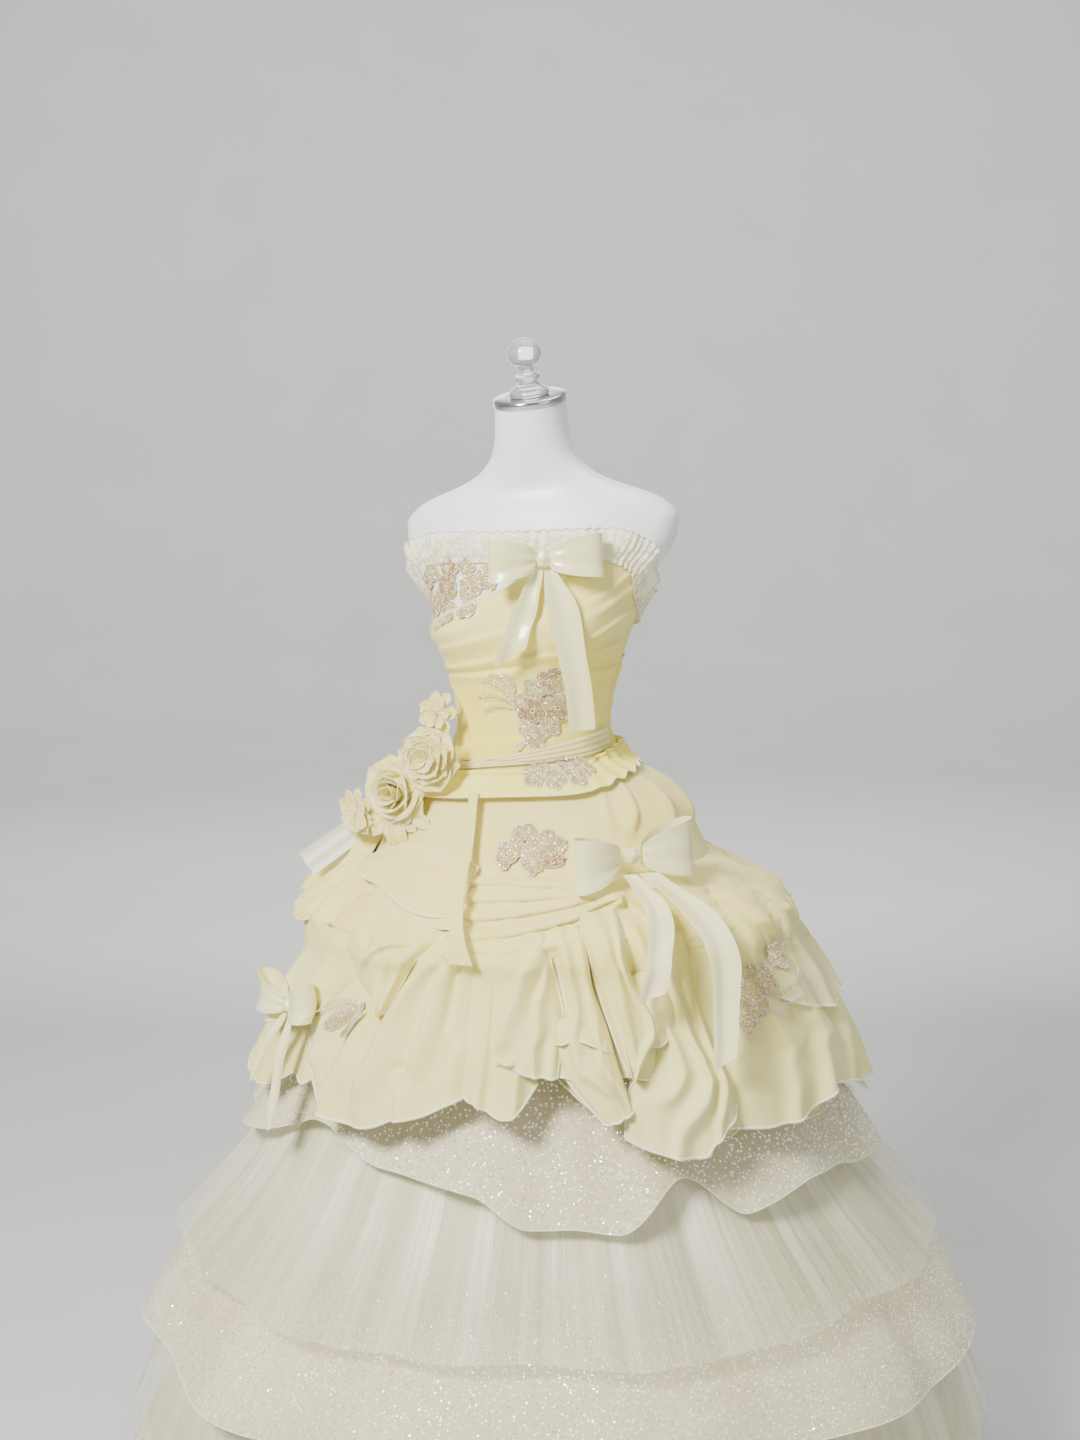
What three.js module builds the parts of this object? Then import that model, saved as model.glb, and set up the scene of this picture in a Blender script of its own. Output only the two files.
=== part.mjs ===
// Strapless ball gown on a limbless dress form: draped chiffon bodice, picked-up chiffon
// overskirt with ribbon bows and flowers, and glitter and pleated tulle tiers to the floor.
// Millimetres, +Z up, front towards -Y, wearer's left towards +X, origin on the floor under
// the middle of the stand.  Angles are degrees round the figure, 0 at the front, + to +X.
import * as THREE from 'three';

const RAD = Math.PI / 180;
const SEAM = 0.3;             // gap between pieces that are sewn together
const BODICE_WALL = 2;
const CHIFFON_WALL = 1.6;
const TULLE_WALL = 1.4;
const SATIN_WALL = 1.5;
const FORM_CLEAR = 3;         // between the form and the inside of the gown
const BODICE_OUT = FORM_CLEAR + BODICE_WALL;
const WAIST_SEAM = 1090;      // height where bodice and skirt meet
const BODY_COLUMNS = 36;      // columns round the form and what is fitted to it
const SKIRT_COLUMNS = 30;     // columns round plain skirt rings; waved rings have twice as many
const NECK_TILT = 18;         // forward slope of the neck top, degrees

// Dress form sections by height: half width, depth before and behind its centre, centre y.
const FORM = [
  { z: 870, half: 158, front: 112, back: 122, y: -22 },
  { z: 905, half: 163, front: 116, back: 129, y: -22 },
  { z: 950, half: 163, front: 116, back: 129, y: -24 },
  { z: 1000, half: 152, front: 109, back: 118, y: -27 },
  { z: 1050, half: 130, front: 98, back: 102, y: -31 },
  { z: 1090, half: 110, front: 88, back: 88, y: -34 },
  { z: 1130, half: 97, front: 82, back: 80, y: -35 },
  { z: 1165, half: 99, front: 83, back: 80, y: -34 },
  { z: 1200, half: 108, front: 87, back: 83, y: -30 },
  { z: 1240, half: 120, front: 94, back: 89, y: -25 },
  { z: 1270, half: 130, front: 99, back: 94, y: -20 },
  { z: 1300, half: 141, front: 101, back: 98, y: -15 },
  { z: 1335, half: 164, front: 98, back: 98, y: -7 },
  { z: 1372, half: 188, front: 88, back: 92, y: 2 },
  { z: 1405, half: 194, front: 78, back: 82, y: 7 },
  { z: 1425, half: 182, front: 70, back: 74, y: 7 },
  { z: 1440, half: 154, front: 63, back: 68, y: 5 },
  { z: 1453, half: 115, front: 58, back: 63, y: 1 },
  { z: 1470, half: 80, front: 55, back: 59, y: -5 },
  { z: 1494, half: 58, front: 53, back: 55, y: -12 },
  { z: 1528, half: 50, front: 50, back: 50, y: -18 },
  { z: 1562, half: 48, front: 49, back: 49, y: -22 },
];
const FORM_ROWS = 18;
const BUST = { angle: 36, z: 1262, rise: 24, spread: 25, tall: 40 };

// Underskirt sections, outer face.
const UNDERSKIRT = [
  { z: 18, half: 596, front: 554, back: 632, y: 0 },
  { z: 100, half: 568, front: 528, back: 602, y: 0 },
  { z: 180, half: 545, front: 507, back: 578, y: 0 },
  { z: 260, half: 536, front: 498, back: 568, y: 0 },
  { z: 330, half: 522, front: 485, back: 553, y: 0 },
  { z: 380, half: 499, front: 464, back: 529, y: 0 },
  { z: 445, half: 456, front: 424, back: 483, y: 0 },
  { z: 520, half: 408, front: 380, back: 432, y: 0 },
  { z: 600, half: 370, front: 344, back: 392, y: 0 },
  { z: 680, half: 325, front: 302, back: 345, y: 0 },
  { z: 760, half: 283, front: 264, back: 300, y: -2 },
  { z: 850, half: 240, front: 220, back: 252, y: -10 },
  { z: 950, half: 200, front: 172, back: 188, y: -22 },
  { z: 1000, half: 175, front: 140, back: 150, y: -27 },
  { z: 1050, half: 146, front: 110, back: 118, y: -31 },
  { z: WAIST_SEAM, half: 110 + BODICE_OUT, front: 88 + BODICE_OUT, back: 88 + BODICE_OUT, y: -34 },
];
const UNDERSKIRT_HEIGHTS = [18, 180, 260, 420, 520, 680, 800, 930, 1050, WAIST_SEAM - SEAM];

// Tiers: how far each stands out from the underskirt, by height; waves grow to the hem.
const TIERS = [
  { name: 'glitter_tier_1', waves: 12, depth: 9, turn: 0.4, scallop: 0, profile: [
    { z: 555, out: 62 }, { z: 600, out: 54 }, { z: 660, out: 43 }, { z: 700, out: 38 },
    { z: 740, out: 29 }, { z: 770, out: 14 }, { z: 800, out: 2 }] },
  { name: 'pleated_tier_1', waves: 15, depth: 6, turn: 0.1, scallop: 7, profile: [
    { z: 440, out: 72 }, { z: 480, out: 60 }, { z: 520, out: 46 }, { z: 560, out: 31 },
    { z: 600, out: 22 }, { z: 640, out: 13 }, { z: 680, out: 2 }] },
  { name: 'glitter_tier_2', waves: 12, depth: 9, turn: 1.3, scallop: 16, profile: [
    { z: 320, out: 54 }, { z: 360, out: 50 }, { z: 400, out: 43 }, { z: 445, out: 28 },
    { z: 480, out: 16 }, { z: 520, out: 2 }] },
  { name: 'pleated_tier_2', waves: 15, depth: 6, turn: 0.5, scallop: 7, profile: [
    { z: 185, out: 55 }, { z: 230, out: 43 }, { z: 280, out: 32 }, { z: 330, out: 22 },
    { z: 380, out: 14 }, { z: 420, out: 2 }] },
  { name: 'glitter_tier_3', waves: 12, depth: 8, turn: 2.1, scallop: 12, profile: [
    { z: 98, out: 48 }, { z: 140, out: 38 }, { z: 180, out: 28 }, { z: 220, out: 14 },
    { z: 260, out: 2 }] },
  { name: 'pleated_tier_3', waves: 15, depth: 5, turn: 0.8, scallop: 0, profile: [
    { z: 18, out: 38 }, { z: 60, out: 31 }, { z: 100, out: 22 }, { z: 140, out: 12 },
    { z: 180, out: 2 }] },
];

// Uneven hems, height by angle.
const FIRST_TIER_HEM = [
  { angle: -180, z: 572 }, { angle: -150, z: 592 }, { angle: -120, z: 566 }, { angle: -90, z: 598 },
  { angle: -68, z: 586 }, { angle: -48, z: 606 }, { angle: -27, z: 648 }, { angle: -13, z: 616 },
  { angle: 6, z: 606 }, { angle: 15, z: 572 }, { angle: 29, z: 568 }, { angle: 41, z: 616 },
  { angle: 52, z: 564 }, { angle: 66, z: 584 }, { angle: 90, z: 560 }, { angle: 118, z: 566 },
  { angle: 150, z: 590 }, { angle: 180, z: 572 },
];
const FLOUNCE_HEM = [
  { angle: -180, z: 646 }, { angle: -150, z: 684 }, { angle: -120, z: 640 }, { angle: -92, z: 676 },
  { angle: -68, z: 684 }, { angle: -48, z: 672 }, { angle: -29, z: 700 }, { angle: -10, z: 668 },
  { angle: 3, z: 712 }, { angle: 11, z: 694 }, { angle: 17, z: 724 }, { angle: 28, z: 676 },
  { angle: 33, z: 712 }, { angle: 42, z: 634 }, { angle: 49, z: 644 }, { angle: 56, z: 678 },
  { angle: 68, z: 646 }, { angle: 84, z: 664 }, { angle: 106, z: 622 }, { angle: 130, z: 676 },
  { angle: 156, z: 640 }, { angle: 180, z: 646 },
];
const NECKLINE = [
  { angle: 0, z: 1368 }, { angle: 35, z: 1370 }, { angle: 55, z: 1356 }, { angle: 75, z: 1318 },
  { angle: 95, z: 1290 }, { angle: 130, z: 1280 }, { angle: 180, z: 1280 },
];
const DRAPE_TOP = [
  { angle: -90, z: 1222 }, { angle: -70, z: 1234 }, { angle: -45, z: 1266 }, { angle: -20, z: 1296 },
  { angle: 0, z: 1316 }, { angle: 15, z: 1340 }, { angle: 30, z: 1352 }, { angle: 60, z: 1336 },
  { angle: 90, z: 1278 },
];

// Overskirt: stand-off from the underskirt at the sides and at the front and back.
const YOKE = [
  { z: 902, side: 82, front: 50 }, { z: 920, side: 62, front: 37 }, { z: 950, side: 37, front: 22 },
  { z: 985, side: 40, front: 14 }, { z: 1020, side: 48, front: 8 }, { z: 1050, side: 40, front: 4 },
  { z: 1070, side: 26, front: 3 }, { z: 1088, side: 3, front: 2.4 },
];
const FLOUNCE = [
  { z: 620, side: 75, front: 76 }, { z: 660, side: 80, front: 78 }, { z: 700, side: 86, front: 80 },
  { z: 740, side: 83, front: 78 }, { z: 770, side: 80, front: 76 }, { z: 800, side: 80, front: 74 },
  { z: 830, side: 76, front: 70 }, { z: 880, side: 44, front: 40 }, { z: 922, side: 4, front: 4 },
];
const FLOUNCE_WAVE = { waves: 12, depth: 9, turn: 0.9, top: 922, bottom: 640 };

// Picked-up pieces over the yoke and flounce: angles, bottom height at each end and in the
// middle, top height, and stand-off by height.
const PUFF = [
  { z: 850, side: 94, front: 88 }, { z: 868, side: 106, front: 98 }, { z: 885, side: 108, front: 98 },
  { z: 905, side: 96, front: 78 }, { z: 930, side: 66, front: 48 }, { z: 955, side: 44, front: 28 },
  { z: 975, side: 46, front: 22 },
];
const CASCADE = [
  { z: 640, side: 88, front: 89 }, { z: 700, side: 96, front: 92 }, { z: 760, side: 92, front: 88 },
  { z: 800, side: 88, front: 83 }, { z: 835, side: 81, front: 76 }, { z: 862, side: 68, front: 62 },
];
const PICKUPS = [
  { name: 'overskirt_swag_front', profile: PUFF, from: -18, to: 47.6, top: 955, start: 905,
    middle: 866, end: 900, folds: 3, rise: 5 },
  { name: 'overskirt_puff_left', profile: PUFF, from: 48, to: 125.6, top: 958, start: 880,
    middle: 856, end: 880, folds: 4, rise: 6 },
  { name: 'overskirt_puff_back', profile: PUFF, from: 126, to: 233.6, top: 955, start: 880,
    middle: 862, end: 880, folds: 5, rise: 5 },
  { name: 'overskirt_puff_right', profile: PUFF, from: 234, to: 341.6, top: 955, start: 880,
    middle: 862, end: 892, folds: 4, rise: 6 },
  { name: 'overskirt_cascade_right', profile: CASCADE, from: -60, to: -6, top: 856, start: 838,
    middle: 782, end: 840, folds: 3, rise: 4 },
  { name: 'overskirt_cascade_front', profile: CASCADE, from: 12, to: 48, top: 858, start: 768,
    middle: 706, end: 690, folds: 4, rise: 5 },
  { name: 'overskirt_cascade_left', profile: CASCADE, from: 54, to: 114, top: 856, start: 742,
    middle: 694, end: 736, folds: 4, rise: 5 },
];
const PICKUP_STEP = 6;        // degrees between columns, the flounce's own spacing

const FLAP = { from: -66, to: -3, top: [968, 990], bottom: [944, 902], out: 5, columns: 12, rows: 3 };

// Bands on the body.
const SASH = { from: -60, to: 80, left: 1072, right: 1116, tall: 23, out: 3, columns: 14 };
const BAND = { tall: 34, out: 7, flare: 4 };
const BAND_MIDDLE = [
  { angle: -180, z: 1090 }, { angle: -90, z: 1066 }, { angle: -40, z: 1058 }, { angle: 0, z: 1062 },
  { angle: 30, z: 1064 }, { angle: 68, z: 1086 }, { angle: 100, z: 1096 }, { angle: 180, z: 1090 },
];
const RUFFLE = { low: 20, high: 20, waves: 18, depth: 3.4, inner: 1.6, flare: 4 };

// Bows: centre of the knot, the way it faces, and its loops and tails.  In a bow's own frame
// u is to its right, v up, w outwards.
const BOWS = [
  { name: 'neck_bow', x: 54, y: -135, z: 1352, face: 24, knot: [8.5, 12, 8], loops: [
    { side: 'right', reach: -70, tall: 31, depth: 13, lift: -2 },
    { side: 'left', reach: 78, tall: 31, depth: 13, lift: 3 }], tails: [
    { side: 'right', path: [
      { u: -7, v: -14, w: 0, wide: 7 }, { u: -24, v: -62, w: 4, wide: 15 },
      { u: -38, v: -100, w: 8, wide: 18 }, { u: -46, v: -126, w: 8, wide: 20 }] },
    { side: 'left', path: [
      { u: 9, v: -14, w: 0, wide: 7 }, { u: 22, v: -60, w: 12, wide: 20 },
      { u: 34, v: -126, w: 16, wide: 18 }, { u: 42, v: -170, w: 12, wide: 17 },
      { u: 46, v: -222, w: 8, wide: 17 }] }] },
  { name: 'hip_bow', x: 181, y: -184, z: 980, face: 42, knot: [14, 11, 9], loops: [
    { side: 'right', reach: -74, tall: 33, depth: 13, lift: -6 },
    { side: 'left', reach: 84, tall: 35, depth: 13, lift: 5 }], tails: [
    { side: 'right', path: [
      { u: -10, v: -20, w: 18, wide: 9 }, { u: 0, v: -58, w: 76, wide: 16 },
      { u: -24, v: -108, w: 120, wide: 15 }, { u: -46, v: -146, w: 135, wide: 14 }] },
    { side: 'left', path: [
      { u: 16, v: -20, w: 18, wide: 13 }, { u: 56, v: -64, w: 74, wide: 20 },
      { u: 62, v: -110, w: 120, wide: 19 }, { u: 40, v: -180, w: 148, wide: 14 },
      { u: 34, v: -228, w: 164, wide: 12 }] }] },
  { name: 'side_bow', x: -255, y: -283, z: 782, face: -34, knot: [8, 9, 8], loops: [
    { side: 'right', reach: -76, tall: 28, depth: 12, lift: 8 },
    { side: 'left', reach: 60, tall: 28, depth: 12, lift: 14 }], tails: [
    { side: 'right', path: [
      { u: -7, v: -12, w: 2, wide: 6 }, { u: -22, v: -50, w: 22, wide: 9 },
      { u: -34, v: -98, w: 40, wide: 9 }] },
    { side: 'left', path: [
      { u: 8, v: -12, w: 2, wide: 6 }, { u: 22, v: -70, w: 28, wide: 12 },
      { u: 34, v: -144, w: 50, wide: 9 }] }] },
];
const LOOP_STEPS = 10;
const TAIL_STEPS = 5;

// Chiffon flowers: centre, way they face, radius, petals, how deep the petals are cut, and
// what lies between the stalk's end and the cloth.
const FLOWERS = [
  { name: 'flower_daisy', x: -102, y: -122, z: 1152, face: -32, lean: 10, radius: 25, petals: 7,
    cut: 0.26, dome: -5, over: 0.3 },
  { name: 'flower_open', x: -98, y: -156, z: 1092, face: -26, lean: 10, radius: 38, petals: 5,
    cut: 0.14, dome: -7, over: 4.5 },
  { name: 'flower_rose', x: -160, y: -146, z: 1044, face: -40, lean: 5, radius: 36, petals: 6,
    cut: 0.05, dome: 20, over: 12 },
  { name: 'flower_side', x: -222, y: -134, z: 1014, face: -52, lean: -5, radius: 30, petals: 5,
    cut: 0.22, dome: -5, over: 40 },
];
const PETAL_COLUMNS = 20;

const STREAMERS = [
  { name: 'streamer_long', face: -4, path: [
    { x: -38, y: -163, z: 1052, wide: 6 }, { x: -28, y: -208, z: 990, wide: 6 },
    { x: -12, y: -282, z: 940, wide: 6 }, { x: 4, y: -330, z: 900, wide: 10 },
    { x: 14, y: -342, z: 868, wide: 15 }] },
  { name: 'streamer_side', face: -40, path: [
    { x: -196, y: -93, z: 1016, wide: 10 }, { x: -216, y: -100, z: 1002, wide: 15 },
    { x: -250, y: -122, z: 976, wide: 17 }, { x: -292, y: -154, z: 942, wide: 18 }] },
];

const STAND = { radius: 180, edge: 8, top: 15, pole: 16 };
const CAP = { radius: 50, thick: 11, round: 4 };
const FINIAL = [              // radius by height above the lid
  { r: 27, h: SEAM }, { r: 26, h: 8 }, { r: 13, h: 19 }, { r: 17, h: 25 }, { r: 9, h: 32 },
  { r: 15, h: 41 }, { r: 23, h: 54 }, { r: 19, h: 66 }, { r: 8, h: 76 },
];
const TURNED_SIDES = 18;

const COLOURS = {
  form: ['#ECECEA', 0.35, 0], chrome: ['#C8CACC', 0.12, 1], clear: ['#DDE4E6', 0.05, 0],
  bodice: ['#F1EBD6', 0.8, 0], chiffon: ['#EFE5B4', 0.75, 0], overskirt: ['#E0DABC', 0.75, 0],
  band: ['#F6EC9E', 0.6, 0], satin: ['#F1EDDA', 0.3, 0], lace: ['#F4EFE0', 0.85, 0],
  glitter: ['#DDD6C8', 0.55, 0], pleated: ['#D9D9CF', 0.7, 0], under: ['#E4E0D2', 0.8, 0],
};

const gown = new THREE.Group();
gown.name = 'ball_gown_on_dress_form';

function material(key) {
  const [color, roughness, metalness] = COLOURS[key];
  return new THREE.MeshStandardMaterial({ color, roughness, metalness, side: THREE.DoubleSide });
}

function addMesh(name, geometry, key) {
  const mesh = new THREE.Mesh(geometry, material(key));
  mesh.name = name;
  gown.add(mesh);
}

// Smooth value of one column of a table whose rows rise in another.
function along(table, by, column, x) {
  const last = table.length - 1;
  if (x <= table[0][by]) return table[0][column];
  if (x >= table[last][by]) return table[last][column];
  let k = 0;
  while (x > table[k + 1][by]) k += 1;
  const slope = (i) => (table[i + 1][column] - table[i][column]) / (table[i + 1][by] - table[i][by]);
  const tangent = (i) => {
    if (i === 0) return slope(0);
    if (i === last) return slope(last - 1);
    const product = slope(i - 1) * slope(i);
    return product <= 0 ? 0 : (2 * product) / (slope(i - 1) + slope(i));
  };
  const h = table[k + 1][by] - table[k][by];
  const t = (x - table[k][by]) / h;
  const p = table[k][column];
  const q = table[k + 1][column];
  const cubic = p * (2 * t ** 3 - 3 * t * t + 1) + q * (3 * t * t - 2 * t ** 3);
  return cubic + h * (tangent(k) * (t ** 3 - 2 * t * t + t) + tangent(k + 1) * (t ** 3 - t * t));
}

const mix = (a, b, t) => a + (b - a) * t;
const wrap = (angle) => ((angle + 540) % 360) - 180;
const hemAt = (table, angle) => along(table, 'angle', 'z', wrap(angle));

// Point of a sectioned body at an angle and height, moved outwards by a distance.
function onSection(table, angle, z, out) {
  const half = along(table, 'z', 'half', z) + out;
  const c = Math.cos(angle * RAD);
  const depth = along(table, 'z', c > 0 ? 'front' : 'back', z) + out;
  const y = along(table, 'z', 'y', z);
  return new THREE.Vector3(half * Math.sin(angle * RAD), y - depth * c, z);
}

function onForm(angle, z, out) {
  const high = Math.exp(-(((z - BUST.z) / BUST.tall) ** 2));
  const near = (side) => Math.exp(-(((wrap(angle) - side * BUST.angle) / BUST.spread) ** 2));
  return onSection(FORM, angle, z, out + BUST.rise * high * (near(1) + near(-1)));
}

const onSkirt = (angle, z, out) => onSection(UNDERSKIRT, angle, z, out);

// Closed wall whose outer face is a grid of points, columns by rows; its inner face is set in
// along the surface normals.  A ring joins its last column to its first.
function wallGeometry(grid, wall, ring) {
  const columns = grid.length;
  const rows = grid[0].length;
  const at = (i, j) => {
    const column = ring ? (i + columns) % columns : Math.min(Math.max(i, 0), columns - 1);
    return grid[column][Math.min(Math.max(j, 0), rows - 1)];
  };
  const positions = [];
  for (let i = 0; i < columns; i += 1) {
    for (let j = 0; j < rows; j += 1) {
      const across = at(i + 1, j).clone().sub(at(i - 1, j));
      const upward = at(i, j + 1).clone().sub(at(i, j - 1));
      const inner = grid[i][j].clone().addScaledVector(across.cross(upward).normalize(), -wall);
      positions.push(...grid[i][j].toArray(), ...inner.toArray());
    }
  }
  const index = [];
  const outer = (i, j) => 2 * ((i % columns) * rows + j);
  const quad = (a, b, c, d) => index.push(a, b, c, a, c, d);
  const spans = ring ? columns : columns - 1;
  for (let i = 0; i < spans; i += 1) {
    for (let j = 0; j < rows - 1; j += 1) {
      const [a, b, c, d] = [outer(i, j), outer(i + 1, j), outer(i + 1, j + 1), outer(i, j + 1)];
      quad(a, b, c, d);
      quad(a + 1, d + 1, c + 1, b + 1);
    }
    const low = [outer(i, 0), outer(i + 1, 0)];
    const high = [outer(i, rows - 1), outer(i + 1, rows - 1)];
    quad(low[0], low[0] + 1, low[1] + 1, low[1]);
    quad(high[0], high[1], high[1] + 1, high[0] + 1);
  }
  if (!ring) {
    for (let j = 0; j < rows - 1; j += 1) {
      const start = [outer(0, j), outer(0, j + 1)];
      const end = [outer(columns - 1, j), outer(columns - 1, j + 1)];
      quad(start[0], start[1], start[1] + 1, start[0] + 1);
      quad(end[0], end[0] + 1, end[1] + 1, end[1]);
    }
  }
  const geometry = new THREE.BufferGeometry();
  geometry.setAttribute('position', new THREE.Float32BufferAttribute(positions, 3));
  geometry.setIndex(index);
  geometry.computeVertexNormals();
  return geometry;
}

// Grid of points from a function of the angle and of 0 to 1 up the piece.
function gridOf(from, to, columns, rows, ring, pointAt) {
  const grid = [];
  for (let i = 0; i < columns + (ring ? 0 : 1); i += 1) {
    const angle = mix(from, to, i / columns);
    const column = [];
    for (let j = 0; j <= rows; j += 1) column.push(pointAt(angle, j / rows, i));
    grid.push(column);
  }
  return grid;
}

// Solid with plain ends from a grid that closes round.
function plugGeometry(grid) {
  const rows = grid[0].length;
  const columns = grid.length;
  const positions = grid.flatMap((column) => column.flatMap((point) => point.toArray()));
  const index = [];
  const id = (i, j) => (i % columns) * rows + j;
  for (let i = 0; i < columns; i += 1) {
    for (let j = 0; j < rows - 1; j += 1) {
      index.push(id(i, j), id(i + 1, j), id(i + 1, j + 1), id(i, j), id(i + 1, j + 1), id(i, j + 1));
    }
  }
  [0, rows - 1].forEach((j) => {
    const middle = new THREE.Vector3();
    grid.forEach((column) => middle.addScaledVector(column[j], 1 / columns));
    const centre = positions.length / 3;
    positions.push(...middle.toArray());
    for (let i = 0; i < columns; i += 1) {
      const [a, b] = j === 0 ? [id(i + 1, j), id(i, j)] : [id(i, j), id(i + 1, j)];
      index.push(centre, a, b);
    }
  });
  const geometry = new THREE.BufferGeometry();
  geometry.setAttribute('position', new THREE.Float32BufferAttribute(positions, 3));
  geometry.setIndex(index);
  geometry.computeVertexNormals();
  return geometry;
}

// Dress form and stand.
function addForm() {
  const low = FORM[0].z;
  const high = FORM[FORM.length - 1].z;
  const torso = gridOf(0, 360, BODY_COLUMNS, FORM_ROWS, true, (angle, t) => {
    const z = mix(low, high, t);
    const point = onForm(angle, z, 0);
    const sloping = THREE.MathUtils.smoothstep(z, 1480, high);
    point.z += (point.y - along(FORM, 'z', 'y', z)) * Math.tan(NECK_TILT * RAD) * sloping;
    return point;
  });
  addMesh('form_torso', plugGeometry(torso), 'form');

  const top = FORM[FORM.length - 1];
  const place = (geometry) => geometry.rotateX(Math.PI / 2 + NECK_TILT * RAD).translate(0, top.y, top.z);
  const lid = [[0, SEAM], [CAP.radius, SEAM], [CAP.radius, CAP.thick - CAP.round],
    [CAP.radius - CAP.round, CAP.thick], [0, CAP.thick]];
  const profile = (points) => new THREE.LatheGeometry(points.map(([r, h]) => new THREE.Vector2(r, h)), TURNED_SIDES);
  addMesh('form_neck_cap', place(profile(lid)), 'chrome');
  const knob = FINIAL.map((row) => [row.r, row.h + CAP.thick]);
  const bottom = knob[0][1];
  const peak = knob[knob.length - 1][1];
  addMesh('form_finial', place(profile([[0, bottom], ...knob, [0, peak]])), 'clear');

  const upright = (geometry) => geometry.rotateX(Math.PI / 2);
  const post = [[0, STAND.top + SEAM], [STAND.pole, STAND.top + SEAM], [STAND.pole, low - SEAM],
    [0, low - SEAM]];
  addMesh('form_pole', upright(profile(post)), 'chrome');
  const foot = [[0, 0], [STAND.radius, 0], [STAND.radius, STAND.edge], [STAND.pole * 2, STAND.top],
    [0, STAND.top]];
  addMesh('form_base', upright(profile(foot)), 'chrome');
}

// Bodice panels, ruffle and bands.
const necklineAt = (angle) => along(NECKLINE, 'angle', 'z', Math.abs(wrap(angle)));

function addBodice() {
  const shell = (name, from, to, columns, rows) => {
    const grid = gridOf(from, to, columns, rows, false, (angle, t) => {
      return onForm(angle, mix(WAIST_SEAM + SEAM, necklineAt(angle), t), BODICE_OUT);
    });
    addMesh(name, wallGeometry(grid, BODICE_WALL, false), 'bodice');
  };
  shell('bodice_front', -90, 90, 18, 8);
  shell('bodice_back_left', 91, 179.7, 9, 5);
  shell('bodice_back_right', 180.3, 269, 9, 5);
}

const DRAPE_OUT = BODICE_OUT + SEAM + CHIFFON_WALL + 3;
const DRAPE_FOLD = 1.4;
const BODY_FACE = DRAPE_OUT + DRAPE_FOLD;
const HIP_FACE = 2.5;         // from the yoke out to what is laid on it

function addDrapes() {
  const bottom = WAIST_SEAM + 12;
  const front = gridOf(-90, 90, 18, 8, false, (angle, t) => {
    const z = mix(bottom, along(DRAPE_TOP, 'angle', 'z', angle), t);
    return onForm(angle, z, DRAPE_OUT + DRAPE_FOLD * Math.sin(t * 4 * Math.PI) ** 2);
  });
  addMesh('bodice_drape_front', wallGeometry(front, CHIFFON_WALL, false), 'chiffon');
  const back = gridOf(91, 269, 18, 4, false, (angle, t) => {
    return onForm(angle, mix(bottom, DRAPE_TOP[0].z, t), DRAPE_OUT);
  });
  addMesh('bodice_drape_back', wallGeometry(back, CHIFFON_WALL, false), 'chiffon');
}

// Point on the drape, or below the waist on the yoke, moved out.
function overHip(angle, z, out) {
  if (z >= WAIST_SEAM) return onForm(angle, z, BODY_FACE + out);
  return onSkirt(angle, z, standOff(YOKE, angle, z) + HIP_FACE + out);
}

function addBands() {
  const ruffle = gridOf(0, 360, BODY_COLUMNS * 2, 1, true, (angle, t) => {
    const z = necklineAt(angle) + mix(-RUFFLE.low, RUFFLE.high, t);
    const wave = RUFFLE.depth * (0.3 + 0.7 * t) * Math.sin(angle * RAD * RUFFLE.waves);
    const out = BODICE_OUT + RUFFLE.inner + CHIFFON_WALL * 2 + RUFFLE.depth + RUFFLE.flare * t;
    return onForm(angle, z, out + wave + CHIFFON_WALL);
  });
  addMesh('neckline_ruffle', wallGeometry(ruffle, CHIFFON_WALL, true), 'lace');

  const sash = gridOf(SASH.from, SASH.to, SASH.columns, 2, false, (angle, t) => {
    const middle = mix(SASH.left, SASH.right, (angle - SASH.from) / (SASH.to - SASH.from));
    return overHip(angle, middle + SASH.tall * (t - 0.5), SASH.out);
  });
  addMesh('waist_sash', wallGeometry(sash, CHIFFON_WALL, false), 'chiffon');

  const band = gridOf(-180, 180, BODY_COLUMNS, 2, true, (angle, t) => {
    const z = hemAt(BAND_MIDDLE, angle) + BAND.tall * (t - 0.5);
    return overHip(angle, z, BAND.out + BAND.flare * (1 - t));
  });
  addMesh('hip_band', wallGeometry(band, CHIFFON_WALL, true), 'band');
}

// Skirt layers.
function standOff(table, angle, z) {
  const side = Math.sin(angle * RAD) ** 2;
  return mix(along(table, 'z', 'front', z), along(table, 'z', 'side', z), side);
}

function flounceOut(angle, z) {
  const { waves, depth, turn, top, bottom } = FLOUNCE_WAVE;
  const grow = THREE.MathUtils.clamp((top - z) / (top - bottom), 0, 1);
  const wave = depth * grow * Math.sin(angle * RAD * waves + turn);
  return standOff(FLOUNCE, angle, z) + wave;
}

function addSkirt() {
  const heights = UNDERSKIRT_HEIGHTS;
  const under = gridOf(0, 360, SKIRT_COLUMNS, heights.length - 1, true, (angle, t) => {
    return onSkirt(angle, heights[Math.round(t * (heights.length - 1))], 0);
  });
  addMesh('underskirt', wallGeometry(under, BODICE_WALL, true), 'under');

  TIERS.forEach(({ name, waves, depth, turn, scallop, profile }) => {
    const top = profile[profile.length - 1].z;
    const grid = gridOf(0, 360, SKIRT_COLUMNS * 2, 2, true, (angle, t) => {
      const ripple = scallop * (0.5 + 0.5 * Math.sin(angle * RAD * 7 + turn));
      const hem = name === 'glitter_tier_1' ? hemAt(FIRST_TIER_HEM, angle) : profile[0].z + ripple;
      const z = mix(hem, top, t);
      const wave = depth * (1 - t) * Math.sin(angle * RAD * waves + turn);
      return onSkirt(angle, z, along(profile, 'z', 'out', z) + wave);
    });
    addMesh(name, wallGeometry(grid, TULLE_WALL, true), name.startsWith('glitter') ? 'glitter' : 'pleated');
  });
}

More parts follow.
